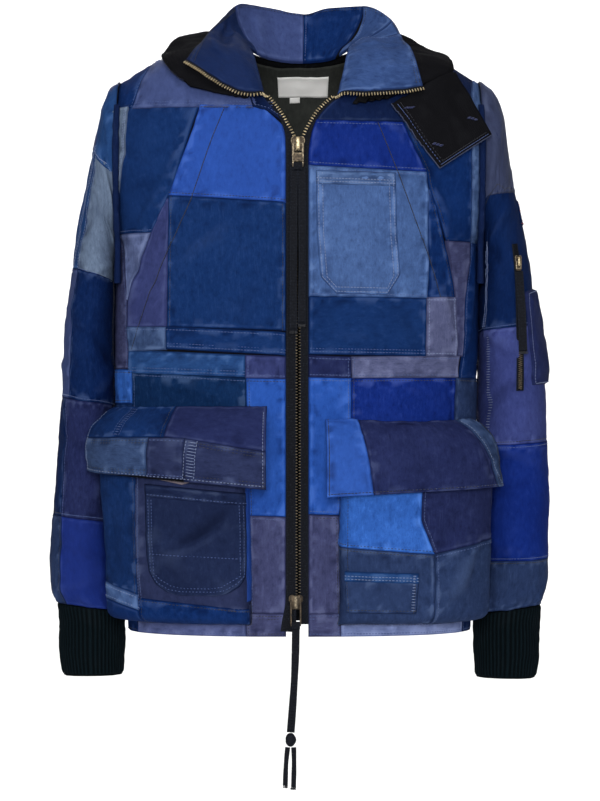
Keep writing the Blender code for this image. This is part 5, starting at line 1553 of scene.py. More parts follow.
def cuff(side):
    """Rib knit: rounded ribs all round, drawn in where it is sewn to the sleeve and at its turned edge."""
    name = NAME[side]
    drop = 0.0 if side < 0 else CUFF_LEFT_DROP
    around = np.arange(CUFF_COLUMNS) * 2 * math.pi / CUFF_COLUMNS
    top, low = CUFF["rows"][0][2] - drop, CUFF["rows"][-1][2] - drop
    heights = np.linspace(top, low, CUFF_ROWS)
    form = tube_place(CUFF, side, drop)
    cloth = Cloth(form, (FRONT_MIDDLE, -0.65), (side * 0.235, 0.036, -0.65), None, (), 0.0011, 60 + side)
    angle, height = np.meshgrid(around, heights)
    u = angle / (2 * math.pi) * 100 * AROUND
    down = (top - height) / (top - low)
    end = np.minimum(np.minimum(down, 1 - down) * (top - low) / 0.004, 1)
    rib = 0.0014 * (np.abs(np.cos(angle * CUFF_RIBS / 2)) - 0.75) * end
    belly = 0.0012 * np.sin(math.pi * down) + 0.0007 * soft(u, height, 0.012, 4)
    round_edge = -0.0015 * (1 - end) ** 2
    outer = cloth.at(u, height, rib + belly + round_edge)
    inner = cloth.at(u, height, -KNIT + 0.5 * rib + belly - round_edge)
    away = cloth.base(u, height)[1]
    flat = np.stack([u * 0.7, height], -1)
    pile = Pile()
    # low between the ribs and high on them; the rib knit paints shade into the low parts
    rub = np.clip(0.5 + rib / 0.0006, 0, 1)
    pile.grid(outer, DYES["rib_black"], 0, rub, flat, True, away)
    pile.grid(inner, DYES["rib_black"], 0, 0 * rub, flat, True, -away)
    for row, way in ((0, 1), (-1, -1)):
        middle = (outer[row] + inner[row]) / 2 + np.array([0, 0, 0.0008 * way])
        rim = np.stack([outer[row], middle, inner[row]])
        facing = np.broadcast_to((0, 0, way), rim.shape)
        pile.grid(rim, DYES["rib_black"], 0, 0.3, np.stack([flat[row]] * 3), True, facing)
    made = pile.make("cuff_rib_" + name, [RIB], "rib_knit", weld=True)
    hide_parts("cuff_" + name)


# ---- the standing collar, the black collar outside it, the throat tab, the lining and the label ----
# Marks of a collar are (station, level): stations run from the wearer's right front end round the back.

COLLAR_RIGHT_END = (
    ("dark_navy", S, 0, "", 20, (0, 1, 2.54, 1), (0, 0, 2.54, 0)),
)
COLLAR_BACK = (
    ("lavender", T, 0, "", 0, (2.56, 1, 5.02, 1), (2.56, 0, 5.02, 0)),
    ("navy", D, 0, "l", 0, (5.02, 1, 7.0, 1), (5.02, 0, 7.0, 0)),
    ("dull_denim", D, 1, "l", 0, (7.0, 1, 8.04, 1), (7.3, 0, 8.04, 0)),
)
COLLAR_LEFT_END = (
    ("dull_denim", D, 0, "", 0, (8.06, 1, 8.45, 1), (8.06, 0, 8.45, 0)),
    ("dull_denim", D, 1, "L", 20, (8.45, 1, 10, 1), (8.45, 0, 10, 0)),
)
FOLDS_COLLAR_END_RIGHT = (
    (0.9, 0.35, 2.3, 0.75, 9, -2.6, 4), (1.5, 0.1, 2.4, 0.9, 8, 2.2, 4), (0.5, 0.5, 1.3, 0.95, 8, 1.8, -3),
    (1.2, 0.3, 1.0, 0.9, 6, -1.6, 2), (1.8, 0.2, 1.7, 0.9, 6, 1.4, 2), (1.1, 0.3, 2.2, 0.25, 5, 1.5, 2),
)
FOLDS_COLLAR_BACK = (
    (3.4, 0.1, 3.5, 0.95, 9, 1.6, 2), (4.2, 0.2, 4.1, 0.9, 7, -1.3, 2), (5.6, 0.1, 5.7, 0.9, 9, 1.5, 2),
    (6.6, 0.1, 6.4, 0.9, 8, -1.5, 2), (3.0, 0.6, 6.8, 0.7, 8, 0.9, 3),
)
FOLDS_COLLAR_END_LEFT = (
    (8.5, 0.2, 9.7, 0.7, 10, 1.8, 4), (9.0, 0.05, 8.9, 0.9, 8, -1.3, 2), (9.5, 0.2, 9.6, 0.9, 7, 1.3, 2),
)
FOLDS_OUTER_COLLAR = (
    (1.0, 0.3, 3.5, 0.8, 10, 2.2, 4), (2.0, 0.1, 2.3, 0.95, 9, -2.2, 3), (3.6, 0.1, 4.2, 0.95, 10, 2.4, 3),
    (5.0, 0.1, 5.0, 0.95, 10, -1.9, 3), (6.5, 0.1, 6.6, 0.9, 10, 2.0, 3), (8.0, 0.1, 8.2, 0.9, 10, -1.9, 3),
    (9.0, 0.2, 11.2, 0.7, 10, 2.2, 5), (9.6, 0.1, 9.4, 0.95, 8, -2.0, 3),
    (10.6, 0.1, 10.5, 0.95, 8, 1.9, 3),
)
FACING = (              # marks beside the zip, then away from it
    (62, 0, 88, 6), (56, -30, 96, -24), (48, -48, 104, -52), (26, -84, 96, -88), (20, -120, 90, -122),
    (20, -190, 88, -190),
)
COLLAR_ROWS = 25
FOLDS_TAB = (
    (0.1, 0.2, 2.7, 0.45, 10, 1.6, 4), (0.4, 0.8, 2.6, 0.7, 9, -1.4, 4), (0.2, 0.5, 0.9, 0.9, 8, 1.6, 3),
)


def clear_of_body(points, out):
    """The points, those within out of the body moved straight out from the nearest cloth."""
    flat = points.reshape(-1, 3)
    moved = flat.copy()
    heights = np.linspace(0, 2 * ARM_MIDDLE, 160) ** 3 / (2 * ARM_MIDDLE) ** 2
    for side in (-1, 1):
        for face in (-1, 1):
            here = ((flat[:, 0] < 0) == (side < 0)) & ((flat[:, 1] < 0) == (face < 0))
            if not here.any():
                continue
            x = np.minimum(np.abs(flat[here, 0]), ARM_X * 0.995)[:, None]
            under = body_point(side, face, turn_at(side, x, heights), heights)[..., 1:]
            under[..., 0] *= face
            along = np.gradient(under, axis=1)
            outward = unit(np.stack([-along[..., 1], along[..., 0]], -1))
            there = np.stack([np.abs(flat[here, 1]), flat[here, 2]], -1)
            nearest = np.argmin(np.linalg.norm(under - there[:, None], axis=2), axis=1)
            rows = np.arange(len(nearest))
            foot, way = under[rows, nearest], outward[rows, nearest]
            short = np.clip(out - np.sum((there - foot) * way, axis=1), 0, None)[:, None]
            lifted = np.where(short > 0, foot + way * out, there)
            moved[here, 1], moved[here, 2] = face * lifted[:, 0], lifted[:, 1]
    return moved.reshape(points.shape)


class Chart:
    """A smooth surface read from a fine grid of its own points, which stand between two stations."""

    def __init__(self, points, first, last):
        self.points = points
        self.first, self.last = first, last
        self.wide = np.linalg.norm(np.diff(points, axis=1), axis=-1).sum(axis=1).mean()
        self.tall = np.linalg.norm(np.diff(points, axis=0), axis=-1).sum(axis=0).mean()
        self.long = self.wide / (last - first)

    def place(self, u, v):
        rows, columns = self.points.shape[:2]
        x = (u / self.long - self.first) / (self.last - self.first) * (columns - 1)
        y = v / self.tall * (rows - 1)
        i = np.clip(np.floor(x).astype(int), 0, columns - 2)
        j = np.clip(np.floor(y).astype(int), 0, rows - 2)
        s, t = (x - i)[..., None], (y - j)[..., None]
        low = self.points[j, i] * (1 - s) + self.points[j, i + 1] * s
        high = self.points[j + 1, i] * (1 - s) + self.points[j + 1, i + 1] * s
        return low * (1 - t) + high * t

    def marks(self, x, y):
        return x * self.long, y * self.tall

    def spread(self, cell):
        """Lengths across and up, about one cell apart, from edge to edge."""
        across = np.linspace(self.first * self.long, self.last * self.long, int(self.wide / cell) + 2)
        return across, np.linspace(0, self.tall, int(self.tall / cell) + 2)

    def cloth(self, seen_from, folds, rumple, seed):
        """The cloth on this chart. Its seen face turns to a point."""
        middle = (self.first + self.last) / 2 * self.long, self.tall / 2
        spot = self.place(np.array(middle[0]), np.array(middle[1]))
        behind = 2 * spot - np.array(seen_from)
        return Cloth(self.place, middle, behind, self.marks, folds, rumple, seed)

    def flat(self):
        return round(float(self.wide), 3), round(float(self.tall), 3)


def collar_chart(of, first, last, out):
    """A collar between two stations, drawn from its table and moved clear of the body."""
    stations_of = np.linspace(first, last, 12 * int(round(last - first)) + 1)
    points = between_rims(of, stations_of, COLLAR_ROWS)
    cleared = clear_of_body(points, out)
    if of is COLLAR:
        share = np.clip(np.linspace(0, 1, COLLAR_ROWS) / 0.25, 0, 1)[:, None, None]     # its lower rim stays
        cleared = points + (cleared - points) * share
    return Chart(smoothed(cleared), first, last)


def smoothed(points, rounds=3):
    """A grid of points, evened out along both ways, its rim kept."""
    points = points.copy()
    for _ in range(rounds):
        inner = points[1:-1, 1:-1]
        around = points[:-2, 1:-1] + points[2:, 1:-1] + points[1:-1, :-2] + points[1:-1, 2:]
        points[1:-1, 1:-1] = 0.5 * inner + 0.125 * around
    return points


def collar_piece(name, first, last, table_of_patches, folds, seed):
    """One of the three pieces that show inside the collar, seen from the middle of the neck."""
    chart = collar_chart(COLLAR, first, last, COLLAR_OUT)
    cloth = chart.cloth((0, -1.0, 0.3), folds, 0.0010, seed)
    pile = Pile()
    # black, so that where it shows between the patches it is painted seam shadow
    closed_wall(pile, cloth, *chart.spread(CELL), DYES["black"], -0.0006, -CLOTH)
    under = pile.make(name + "_ground", [LINING], "patched_cloth", weld=True)
    patches, seams = sew_patches(cloth, table_of_patches, seed)
    for level in (0.93, 0.97):
        seam(seams, cloth, cloth.line((first + 0.05, level), (last - 0.05, level)),
             DYES["dark_thread"], 0.0010)
    pieces = worn_panel(name, patches, seams)
    chart.flat()


def outer_collar():
    """Black wool with a frayed lower edge: short loose ends of yarn hang out of it."""
    chart = collar_chart(OUTER_COLLAR, 0, 12, OUTER_COLLAR_OUT)
    cloth = chart.cloth((0, 0.02, 0.6), FOLDS_OUTER_COLLAR, 0.0014, 71)
    pile = Pile()
    closed_wall(pile, cloth, *chart.spread(CELL), DYES["wool_black"], 0.0, -KNIT)
    made = pile.make("outer_collar_wool", [WOOL], "black_wool", weld=True)
    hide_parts("outer_collar")
    frayed = Pile()
    draw = np.random.default_rng(72)
    many = 420
    at = draw.uniform(0.03, 0.62, many) * chart.wide
    edge = np.full(many, chart.tall)
    ends = cloth.at(at, edge - 0.001, -KNIT / 2)
    ways = unit(ends - cloth.at(at, edge - 0.006, -KNIT / 2) + draw.normal(0, 0.003, (many, 3)))
    threads(frayed, ends + ways * 0.0005, ways, cloth.base(at, edge - 0.001)[1], DYES["grey_lavender"],
            length=0.0034, width=0.0006, rise=0.0003)
    tufts = frayed.make("outer_collar_fray", [THREAD], "black_wool")
    chart.flat()


def throat_tab():
    """The long wool tab, piped along two edges and fixed with three bartacks."""
    rows = np.linspace(0, 3, 40)
    shares = np.linspace(0, 1, 30)
    left, right = read_point(THROAT_TAB, "left", rows), read_point(THROAT_TAB, "right", rows)
    grid = left[None] * (1 - shares[:, None, None]) + right[None] * shares[:, None, None]
    grid[..., 1] -= TAB_BULGE * np.sin(math.pi * shares)[:, None]
    chart = Chart(smoothed(clear_of_body(grid, TAB_OUT)), 0, 3)
    cloth = chart.cloth((0.10, -0.6, -0.05), FOLDS_TAB, 0.0012, 75)
    pile = Pile()
    closed_wall(pile, cloth, *chart.spread(CELL * 0.7), DYES["wool_black"], -0.0003, -KNIT)
    made = pile.make("throat_tab_wool", [WOOL], "black_wool", weld=True)
    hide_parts("throat_tab")
    trim = Pile()
    low_side, free_end = [(0.02, 0.0), (2.99, 0.0)], [(2.99, 0.0), (2.99, 1.0)]
    for ends in (low_side, free_end):
        piping(trim, cloth, cloth.line(*ends), 0.0007, DYES["piping"])
    sewing = Pile()
    seam(sewing, cloth, cloth.line((0.2, 0.10), (2.85, 0.10), (2.85, 0.92)), DYES["dark_thread"], 0.0004)
    seam(sewing, cloth, cloth.line((0.2, 0.06), (2.92, 0.06), (2.92, 0.95)), DYES["blue_thread"], 0.0002)
    for station, level in ((0.75, 0.10), (2.35, 0.14), (2.30, 0.80)):
        for step in np.linspace(-0.0016, 0.0016, 5):
            line = cloth.line((station - 0.12, level), (station + 0.12, level + 0.10)) + (0, step)
            seam(sewing, cloth, line, DYES["bartack"], 0.0006, pitch=0.0030, length=0.0034)
    edge = trim.make("throat_tab_piping", [TWILL], "patched_cloth")
    stitched = sewing.make("throat_tab_stitches", [THREAD], "black_wool")
    chart.flat()


def piping(pile, cloth, line, radius, dye):
    """A thin rolled edge along a line on the cloth."""
    pitch, sides = 0.0025, 8
    spots = np.concatenate([line[:1], resample(line, pitch)[0], line[-1:]])
    middles = cloth.at(spots[:, 0], spots[:, 1], -0.0008)
    along = unit(np.gradient(middles, axis=0))
    away = cloth.base(spots[:, 0], spots[:, 1])[1]
    across = unit(np.cross(along, away))
    away = np.cross(across, along)
    turns = np.arange(sides) * 2 * math.pi / sides
    ring = across[:, None] * np.cos(turns)[:, None] + away[:, None] * np.sin(turns)[:, None]
    points = middles[:, None] + ring * radius
    flat = np.stack(np.broadcast_arrays(turns * radius, np.arange(len(points))[:, None] * pitch), -1)
    pile.grid(points, dye, 0, 0.2, flat, True, ring)
    ways = -along[0], along[-1]
    tips = [np.broadcast_to(middles[end] + way * radius * 0.5, (sides, 3)) for end, way in zip((0, -1), ways)]
    close_tube(pile, points, flat, tips, ways, dye, 0, 0.2)


def inside_strip(name, cloth, rows, finish, dye, drop, thick, replaced, slot="black_lining", bend=0.0):
    """A lining, facing or label that lies inside a panel, its seen face towards the wearer."""
    left, right, _, _ = edges_of(cloth, rows)
    tall = run_along((left + right) / 2)
    down = np.linspace(0, tall[-1], int(tall[-1] / CELL * 1.4) + 3)
    shares = np.linspace(0, 1, int(np.linalg.norm(right - left, axis=1).mean() / CELL * 1.4) + 3)
    ends = [read_along(down, tall, line)[:, None] for line in (left, right)]
    flat = ends[0] * (1 - shares[None, :, None]) + ends[1] * shares[None, :, None]
    u, v = flat[..., 0], flat[..., 1]
    away = cloth.base(u, v)[1]
    sag = bend * soft(u, v, 0.016, 9)
    seen, hidden = cloth.at(u, v, -drop - thick - sag), cloth.at(u, v, -drop - sag)
    pile = Pile()
    pile.grid(seen, dye, 0, 0.1 + 400 * np.abs(sag), flat, away=-away)
    pile.grid(hidden, dye, 0, 0.0, flat, away=away)
    centre = seen.mean(axis=(0, 1))
    for one, two, at in rims(seen, hidden, flat):
        rim = np.stack([one, two])
        pile.grid(rim, dye, 0, 0.5, np.stack([at, at]), away=rim - centre)
    made = pile.make(name, [finish], slot, weld=True)
    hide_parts(replaced)
    return made


def inside_the_neck(right, left, back_cloth):
    """Facings beside the zip, the black lining at the back of the neck, and the bare label with its tab."""
    for side, cloth in ((-1, right), (1, left)):
        rows = [(side * far_x, far_z, side * near_x, near_z) for near_x, near_z, far_x, far_z in FACING]
        made = inside_strip("facing_cloth_" + NAME[side], cloth, rows, LINING,
                            DYES["olive_black"], 0.0026, PATCH, "facing_" + NAME[side], bend=0.0006)
    rows = [(-76, 4, 76, 4), (-76, -60, 76, -60), (-76, -205, 76, -205)]
    lining = inside_strip("back_lining_cloth", back_cloth, rows, LINING, DYES["olive_black"], 0.0026, PATCH,
                          "back_lining", bend=0.0006)
    label = inside_strip("neck_label_cotton", back_cloth, [(-25, -6, 34, -6), (-24, -31, 33, -31)],
                         LABEL, DYES["white"], 0.0043, 0.0006, "neck_label", "white_cotton", bend=0.0004)
    tab = inside_strip("size_tab_cotton", back_cloth, [(-11, -31, 1, -31), (-11, -38, 1, -38)],
                       LABEL, DYES["white"], 0.0043, 0.0006, "size_tab", "white_cotton")


# ---- the front zip, the sleeve zip, their sliders and ribbons ----

TAPE_WIDTH = {"right": 0.0110, "left": 0.0090}
TAPE_WIDTH_OPEN = 0.0045                # above the upper slider
TAPE_THICK = 0.0012
ZIP_X, UPPER_Z = -0.0012, -0.104        # the upper slider's place
LOWER_X, LOWER_Z = -0.0035, -0.598      # and the lower one's
# a pull's length below its axis and half width, then its window's half width and length
UPPER_PULL = (0.0255, 0.0066, 0.0040, 0.0100)
LOWER_PULL = (0.0260, 0.0062, 0.0042, 0.0225)
SLEEVE_PULL = (0.0100, 0.0034, 0.0018, 0.0070)
PIVOT_OUT = 0.0031                      # from the tape to the axis that a pull swings on
# half width and half height, then its arch's half width and how far it reaches inside and outside
SLIDER_SIZE = (0.0078, 0.0078, 0.0020, 0.0057, 0.0072)
SLEEVE_SLIDER_SIZE = (0.0040, 0.0070, 0.0011, 0.00375, 0.00525)
SLEEVE_YAW = math.radians(14)           # that the sleeve's slider is turned outward
BRIDGE_THICK = 0.0015
RIBBON_THICK = 0.0012
KNOT = np.array([0.0060, 0.0050, 0.0075])
TAPE_STEP = 0.003                       # between the stations of a front tape
SLEEVE_TAPE_WIDTH = 0.0085
SLEEVE_TOOTH_PITCH = 0.0022
TOOTH_PITCH = 0.0032                    # on one side; the other side's teeth lie halfway between
TAPE_FOOT = {"right": -0.630, "left": -0.622}

STRAP_SECTION = np.array([
    (-1.0, 0.0), (-0.95, 0.5), (-0.6, 0.42), (0, 0.40), (0.6, 0.42), (0.95, 0.5),
    (1.0, 0.0), (0.95, -0.5), (0.6, -0.42), (0, -0.40), (-0.6, -0.42), (-0.95, -0.5)])
LOOP = np.array([                       # out and up from a pull's bottom bar, round which the ribbon turns
    (0.0013, -0.0008), (0.0014, 0.0022), (0.0010, 0.0040), (-0.0004, 0.0048), (-0.0018, 0.0040),
    (-0.0021, 0.0020), (-0.0019, -0.0008), (-0.0009, -0.0030)])
TOOTH_RINGS = (                         # towards the other side, half length along the zip, half thickness
    (-0.0014, 0.0004, 0.0009), (-0.0011, 0.0007, 0.0013), (0.0004, 0.0007, 0.0013),
    (0.0012, 0.0005, 0.0011), (0.0019, 0.0006, 0.0011), (0.0023, 0.0003, 0.0006))


def zip_axis(x, z):
    """Where a front pull's axis lies."""
    point = body_point(-1, -1, turn_at(-1, 0.003, z), z)
    return np.array([x, point[1] - TAPE_THICK / 2 - 0.0002 - PIVOT_OUT, z])


def strap(pile, line, across, out, width, thick, dye):
    """A closed flat band along a line, with thick selvedges and square ends."""
    run, section = run_along(line), STRAP_SECTION
    width = np.broadcast_to(width, run.shape)
    points = line[:, None] + across[:, None] * (section[None, :, :1] * width[:, None, None] / 2)
    points = points + out[:, None] * (section[:, 1:] * thick)[None]
    flat = np.stack(np.broadcast_arrays(section[None, :, 0] * width[:, None] / 2, run[:, None]), -1)
    rub = 0.5 * (np.abs(section[:, 0]) > 0.9) + 0 * run[:, None]
    facing = across[:, None] * section[None, :, :1] * 0.2 + out[:, None] * section[None, :, 1:]
    pile.grid(points, dye, 0, rub, flat, True, facing)
    along = unit(np.gradient(line, axis=0))
    close_tube(pile, points, flat, drawn_in(points, line), (-along[0], along[-1]), dye, 0, 0.6)


def ribbon(name, start, end, width, sway, body, seed, with_pieces=(), frayed=True):
    """A free ribbon that hangs from start to end, with a faint twist and loose yarns at its cut end."""
    share = np.linspace(0, 1, 36)
    line = np.array(start) * (1 - share[:, None]) + np.array(end) * share[:, None]
    line[:, 0] += sway[0] * np.sin(math.pi * share) * (1 - 0.4 * share)
    line[:, 1] += sway[1] * np.sin(2 * math.pi * share)
    along = unit(np.gradient(line, axis=0))
    sideways = np.array([1.0, 0, 0])
    across = unit(sideways - along * (along @ sideways)[:, None])
    out = np.cross(along, across)
    lean = (0.15 * np.sin(5 * share + seed) * np.sin(math.pi * share))[:, None]
    across, out = across * np.cos(lean) + out * np.sin(lean), out * np.cos(lean) - across * np.sin(lean)
    pile = Pile()
    narrow = 1 - 0.10 * (0.5 + 0.5 * np.sin(9 * share + seed)) * np.sin(math.pi * share)
    strap(pile, line, across, out, width * narrow, RIBBON_THICK, DYES["ribbon_black"])
    made = pile.make(name + "_band", [RIBBON], "ribbon", body, weld=True)
    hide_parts(name)
    pieces = list(with_pieces)
    if frayed:
        draw = np.random.default_rng(seed)
        many = 26
        spots = line[-1] + across[-1] * draw.uniform(-0.46, 0.46, (many, 1)) * width
        ways = unit(along[-1] + draw.normal(0, 0.22, (many, 3)))
        yarn = Pile()
        threads(yarn, spots + ways * 0.0012, ways, np.tile(out[-1], (many, 1)),
                DYES["tape_black"], 0.0038, 0.0006)
        pieces.append(yarn.make(name + "_yarns", [THREAD], "ribbon", body))
    return made


def ribbon_loop(name, axis, length, width, body):
    """The turn of ribbon round a pull's bottom bar."""
    fine = np.linspace(0, len(LOOP) - 1, 26)
    offsets = read_along(fine, range(len(LOOP)), LOOP)
    line = axis + np.stack([0 * fine, offsets[:, 0], offsets[:, 1] - length], -1)
    across = np.tile((1.0, 0, 0), (len(line), 1))
    out = np.cross(unit(np.gradient(line, axis=0)), across)
    pile = Pile()
    strap(pile, line, across, out, width, 0.0011, DYES["ribbon_black"])
    return pile.make(name, [RIBBON], "ribbon", body, weld=True)


def knot(place, body):
    """An overhand knot drawn tight: a rounded lump wrapped in slanting turns of the ribbon."""
    turn, rise = np.meshgrid(np.linspace(0, 2 * math.pi, 49)[:-1], np.linspace(-math.pi / 2, math.pi / 2, 27))
    wrap = 0.90 + 0.10 * np.abs(np.cos(1.5 * turn + 2.2 * np.sin(rise)))
    points = np.stack([np.cos(rise) * np.cos(turn), np.cos(rise) * np.sin(turn), np.sin(rise)], -1)
    points = points * wrap[..., None] * KNOT
    flat = np.stack([turn * 0.006, rise * 0.0075], -1)
    pile = Pile()
    pile.grid(place + points, DYES["ribbon_black"], 0, 0.3, flat, True, points)
    made = pile.make("ribbon_knot", [RIBBON], "ribbon", body, weld=True)
    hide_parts("knot_lower")
    return made


def hang_ribbons():
    """The ribbons on both front pulls and on the sleeve's pull."""
    axis = zip_axis(ZIP_X, UPPER_Z)
    top = axis - (0, 0, UPPER_PULL[0] + GAP)
    loop = ribbon_loop("ribbon_upper_loop", axis, UPPER_PULL[0], 0.0098, "upper_pull")
    ribbon("ribbon_upper_a", top + (-0.0040, 0, 0), top + (-0.0050, -0.0052, -0.176), 0.0086,
           (-0.0006, 0.0002), "upper_pull", 1, with_pieces=[loop])
    ribbon("ribbon_upper_b", top + (0.0040, 0, 0), top + (0.0040, -0.0050, -0.169), 0.0086, (0.0008, 0.0002),
           "upper_pull", 2)
    axis = zip_axis(LOWER_X, LOWER_Z)
    top = axis - (0, 0, LOWER_PULL[0] + GAP)
    middle = top + (-0.0055, 0.0005, -0.1215)
    end = np.array([0, 0, KNOT[2] + GAP])
    loop = ribbon_loop("ribbon_lower_loop", axis, LOWER_PULL[0], 0.0092, "lower_pull")
    tied = knot(middle, "lower_pull")
    ribbon("ribbon_lower", top, middle + end, 0.0085, (0.0015, 0.001), "lower_pull", 3,
           [loop, tied], False)
    below = middle - end
    ribbon("ribbon_end_a", below + (-0.0032, 0, 0), below + (-0.0058, -0.001, -0.041), 0.0055,
           (-0.0008, 0.001), "lower_pull", 4)
    ribbon("ribbon_end_b", below + (0.0032, 0, 0), below + (0.0030, 0.001, -0.043), 0.0055, (0.0006, -0.001),
           "lower_pull", 5)
    axis = sleeve_zip_axis()
    start = axis - (0, 0, SLEEVE_PULL[0] + GAP)
    ribbon("sleeve_ribbon", start, start + (0.0045, -0.004, -0.088), 0.0095, (0.001, 0.0005),
           "sleeve_pull", 6)


def solid(pile, rings, metal=0, wrapped=False):
    """Rings of points joined into a closed lump. wrapped joins the last ring to the first, as on a frame."""
    rings = np.array(rings)
    centre = rings.mean(axis=0, keepdims=True) if wrapped else rings.mean(axis=(0, 1), keepdims=True)
    if wrapped:
        rings = np.concatenate([rings, rings[:1]])
    pile.grid(rings, (1, 1, 1), metal, 0.0, None, True, rings - centre)


def rounded(half_wide, low, high, corner, taper=1.0, steps=4):
    """The outline of a rounded rectangle, from low to high. taper narrows its low end."""
    turns = np.linspace(0, math.pi / 2, steps)
    outline = []
    for k, (x, z) in enumerate(((1, 1), (-1, 1), (-1, -1), (1, -1))):
        for turn in turns + k * math.pi / 2:
            edge = high - corner if z > 0 else low + corner
            wide = half_wide if z > 0 else half_wide * taper
            outline.append((x * (wide - corner) + corner * math.cos(turn), edge + corner * math.sin(turn)))
    return np.array(outline)


class Hardware:
    """Metal parts in a slider's own frame: x across, out away from the cloth, z up, all from its axis."""

    def __init__(self, axis, yaw=0.0):
        self.axis = np.array(axis)
        self.right = np.array([math.cos(yaw), math.sin(yaw), 0])
        self.out = np.array([math.sin(yaw), -math.cos(yaw), 0])
        self.pile = Pile()

    def place(self, outline, out):
        across, up = outline[:, :1], outline[:, 1:]
        out = np.broadcast_to(out, outline.shape[:1])[:, None]
        return self.axis + across * self.right + out * self.out + up * np.array([0, 0, 1.0])

    def plate(self, outline, back, front, edge=0.00025):
        """A slab with rounded rims."""
        middle = outline.mean(axis=0)
        size = np.abs(outline - middle).max()
        inset = middle + (outline - middle) * (1 - edge / size)
        half = middle + (outline - middle) * 0.55
        tiny = middle + (outline - middle) * 0.002
        levels = ((tiny, back), (inset, back), (outline, back + edge),
                  (outline, front - edge), (inset, front), (half, front), (tiny, front))
        solid(self.pile, [self.place(ring, out) for ring, out in levels])

    def frame(self, outer, inner, back, front, edge=0.00022):
        """A flat frame: its outer outline and its window have the same number of points."""
        wide = np.linalg.norm(outer - inner, axis=1, keepdims=True)
        near, far = outer + (inner - outer) * edge / wide, inner + (outer - inner) * edge / wide
        levels = ((outer, back + edge), (outer, front - edge), (near, front), (far, front),
                  (inner, front - edge), (inner, back + edge), (far, back), (near, back))
        solid(self.pile, [self.place(ring, out) for ring, out in levels], metal=1, wrapped=True)

    def slider(self, wide, tall, arch_wide, inner, outer):
        """The body widens in two shoulders at the top. The pull's bar lies under a bridge that spans it."""
        cloth = -PIVOT_OUT
        shape = [(0.60, -1.0), (0.66, -0.35), (0.78, -0.05), (0.97, 0.12), (1.0, 0.40),
                 (0.97, 0.72), (0.80, 0.94), (0.55, 1.0), (0.20, 0.92)]
        shape = np.array(shape + [(-x, z) for x, z in reversed(shape)]) * (wide, tall)
        self.plate(shape, cloth + 0.0004, cloth + 0.0015, 0.0003)
        rim = shape * (0.98, 0.98)
        self.frame(rim, rim * (0.84, 0.90), cloth + 0.0010, cloth + 0.0019, 0.0002)
        ridge = np.array([(-0.16, -0.9), (0.16, -0.9), (0.20, 0.7), (-0.20, 0.7)]) * (wide, tall)
        self.plate(ridge, cloth + 0.0010, cloth + 0.0018, 0.0002)
        turns = np.linspace(0, math.pi, 17)
        middle = (inner + outer) / 2
        run = squared(np.cos(turns), 0.45) * middle
        rise = cloth + 0.0016 + np.abs(np.sin(turns)) ** 0.45 * 0.0034
        around = np.linspace(0, 2 * math.pi, 13)[:-1]
        rings = []
        for k, (z, out) in enumerate(zip(run, rise)):
            before, after = max(k - 1, 0), min(k + 1, len(run) - 1)
            along = unit(np.array([run[after] - run[before], rise[after] - rise[before]]))
            x = arch_wide * squared(np.cos(around), 0.6)
            lift = BRIDGE_THICK / 2 * squared(np.sin(around), 0.6)
            ring = np.stack([x, z - along[1] * lift], -1)
            rings.append(self.place(ring, out + along[0] * lift))
        ends = [np.broadcast_to(ring.mean(axis=0), ring.shape) for ring in (rings[0], rings[-1])]
        rings = np.array([ends[0], *rings, ends[1]])
        self.pile.grid(rings, (1, 1, 1), 2, 0.0, None, True, rings - rings.mean(axis=1, keepdims=True))

    def pull(self, length, wide, window_wide, window_length, foot_window):
        """A plain flat tab. Its top bar is the axis, under the bridge. A second window may take a ribbon."""
        half = 0.0006
        outer = rounded(wide, -window_length - 0.0012, half, 0.0006, 0.97)
        self.frame(outer, rounded(window_wide, -window_length, -half, 0.0005), -half, half)
        if foot_window:
            low = -length + 0.0022
            body = rounded(wide * 0.96, -length + 0.0058, -window_length - 0.0006, 0.0006, 0.97)
            self.plate(body, -half * 0.7, half * 0.7)
            rim = rounded(wide * 0.97, -length + 0.0054, -window_length - 0.0004, 0.0006, 0.97)
            panel = rounded(wide * 0.72, -length + 0.0068, -window_length - 0.0018, 0.0005)
            self.frame(rim, panel, -half, half)
            foot = rounded(wide * 0.95, -length, -length + 0.0064, 0.0008, 0.95)
            self.frame(foot, rounded(wide * 0.66, low, -length + 0.0054, 0.0005), -half, half)
        else:
            foot = rounded(wide * 0.95, -length, -window_length - 0.0008, 0.0010, 0.95)
            self.plate(foot, -half, half)

    def make(self, name, body, replaced, metals):
        made = self.pile.make(name, metals, "zip_metal", body)
        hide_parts(replaced)


def sliders():
    """The three sliders and their pulls."""
    places = (
        ("upper", zip_axis(ZIP_X, UPPER_Z), 0.0, SLIDER_SIZE, UPPER_PULL, True, AGED_AND_SHADED_BRASS, BRASS),
        # the lower slider and pull take darker metals than the upper ones as painted shade, deep between the
        # tapes
        ("lower", zip_axis(LOWER_X, LOWER_Z), 0.0, SLIDER_SIZE, LOWER_PULL, False, DARK_BRONZE, AGED_AND_SHADED_BRASS),
        ("sleeve", sleeve_zip_axis(), SLEEVE_YAW, SLEEVE_SLIDER_SIZE, SLEEVE_PULL, False, AGED_AND_SHADED_BRASS, BRASS),
    )
    for where, axis, yaw, slider_size, pull_size, foot_window, rim, bridge in places:
        body = Hardware(axis, yaw)
        body.slider(*slider_size)
        body.make("zip_slider_" + where, "root", "slider_" + where, [DARK_BRONZE, rim, bridge])
        tab = Hardware(axis, yaw)
        tab.pull(*pull_size, foot_window)
        tab.make("zip_pull_" + where, where + "_pull", "pull_" + where, [DARK_BRONZE, rim])


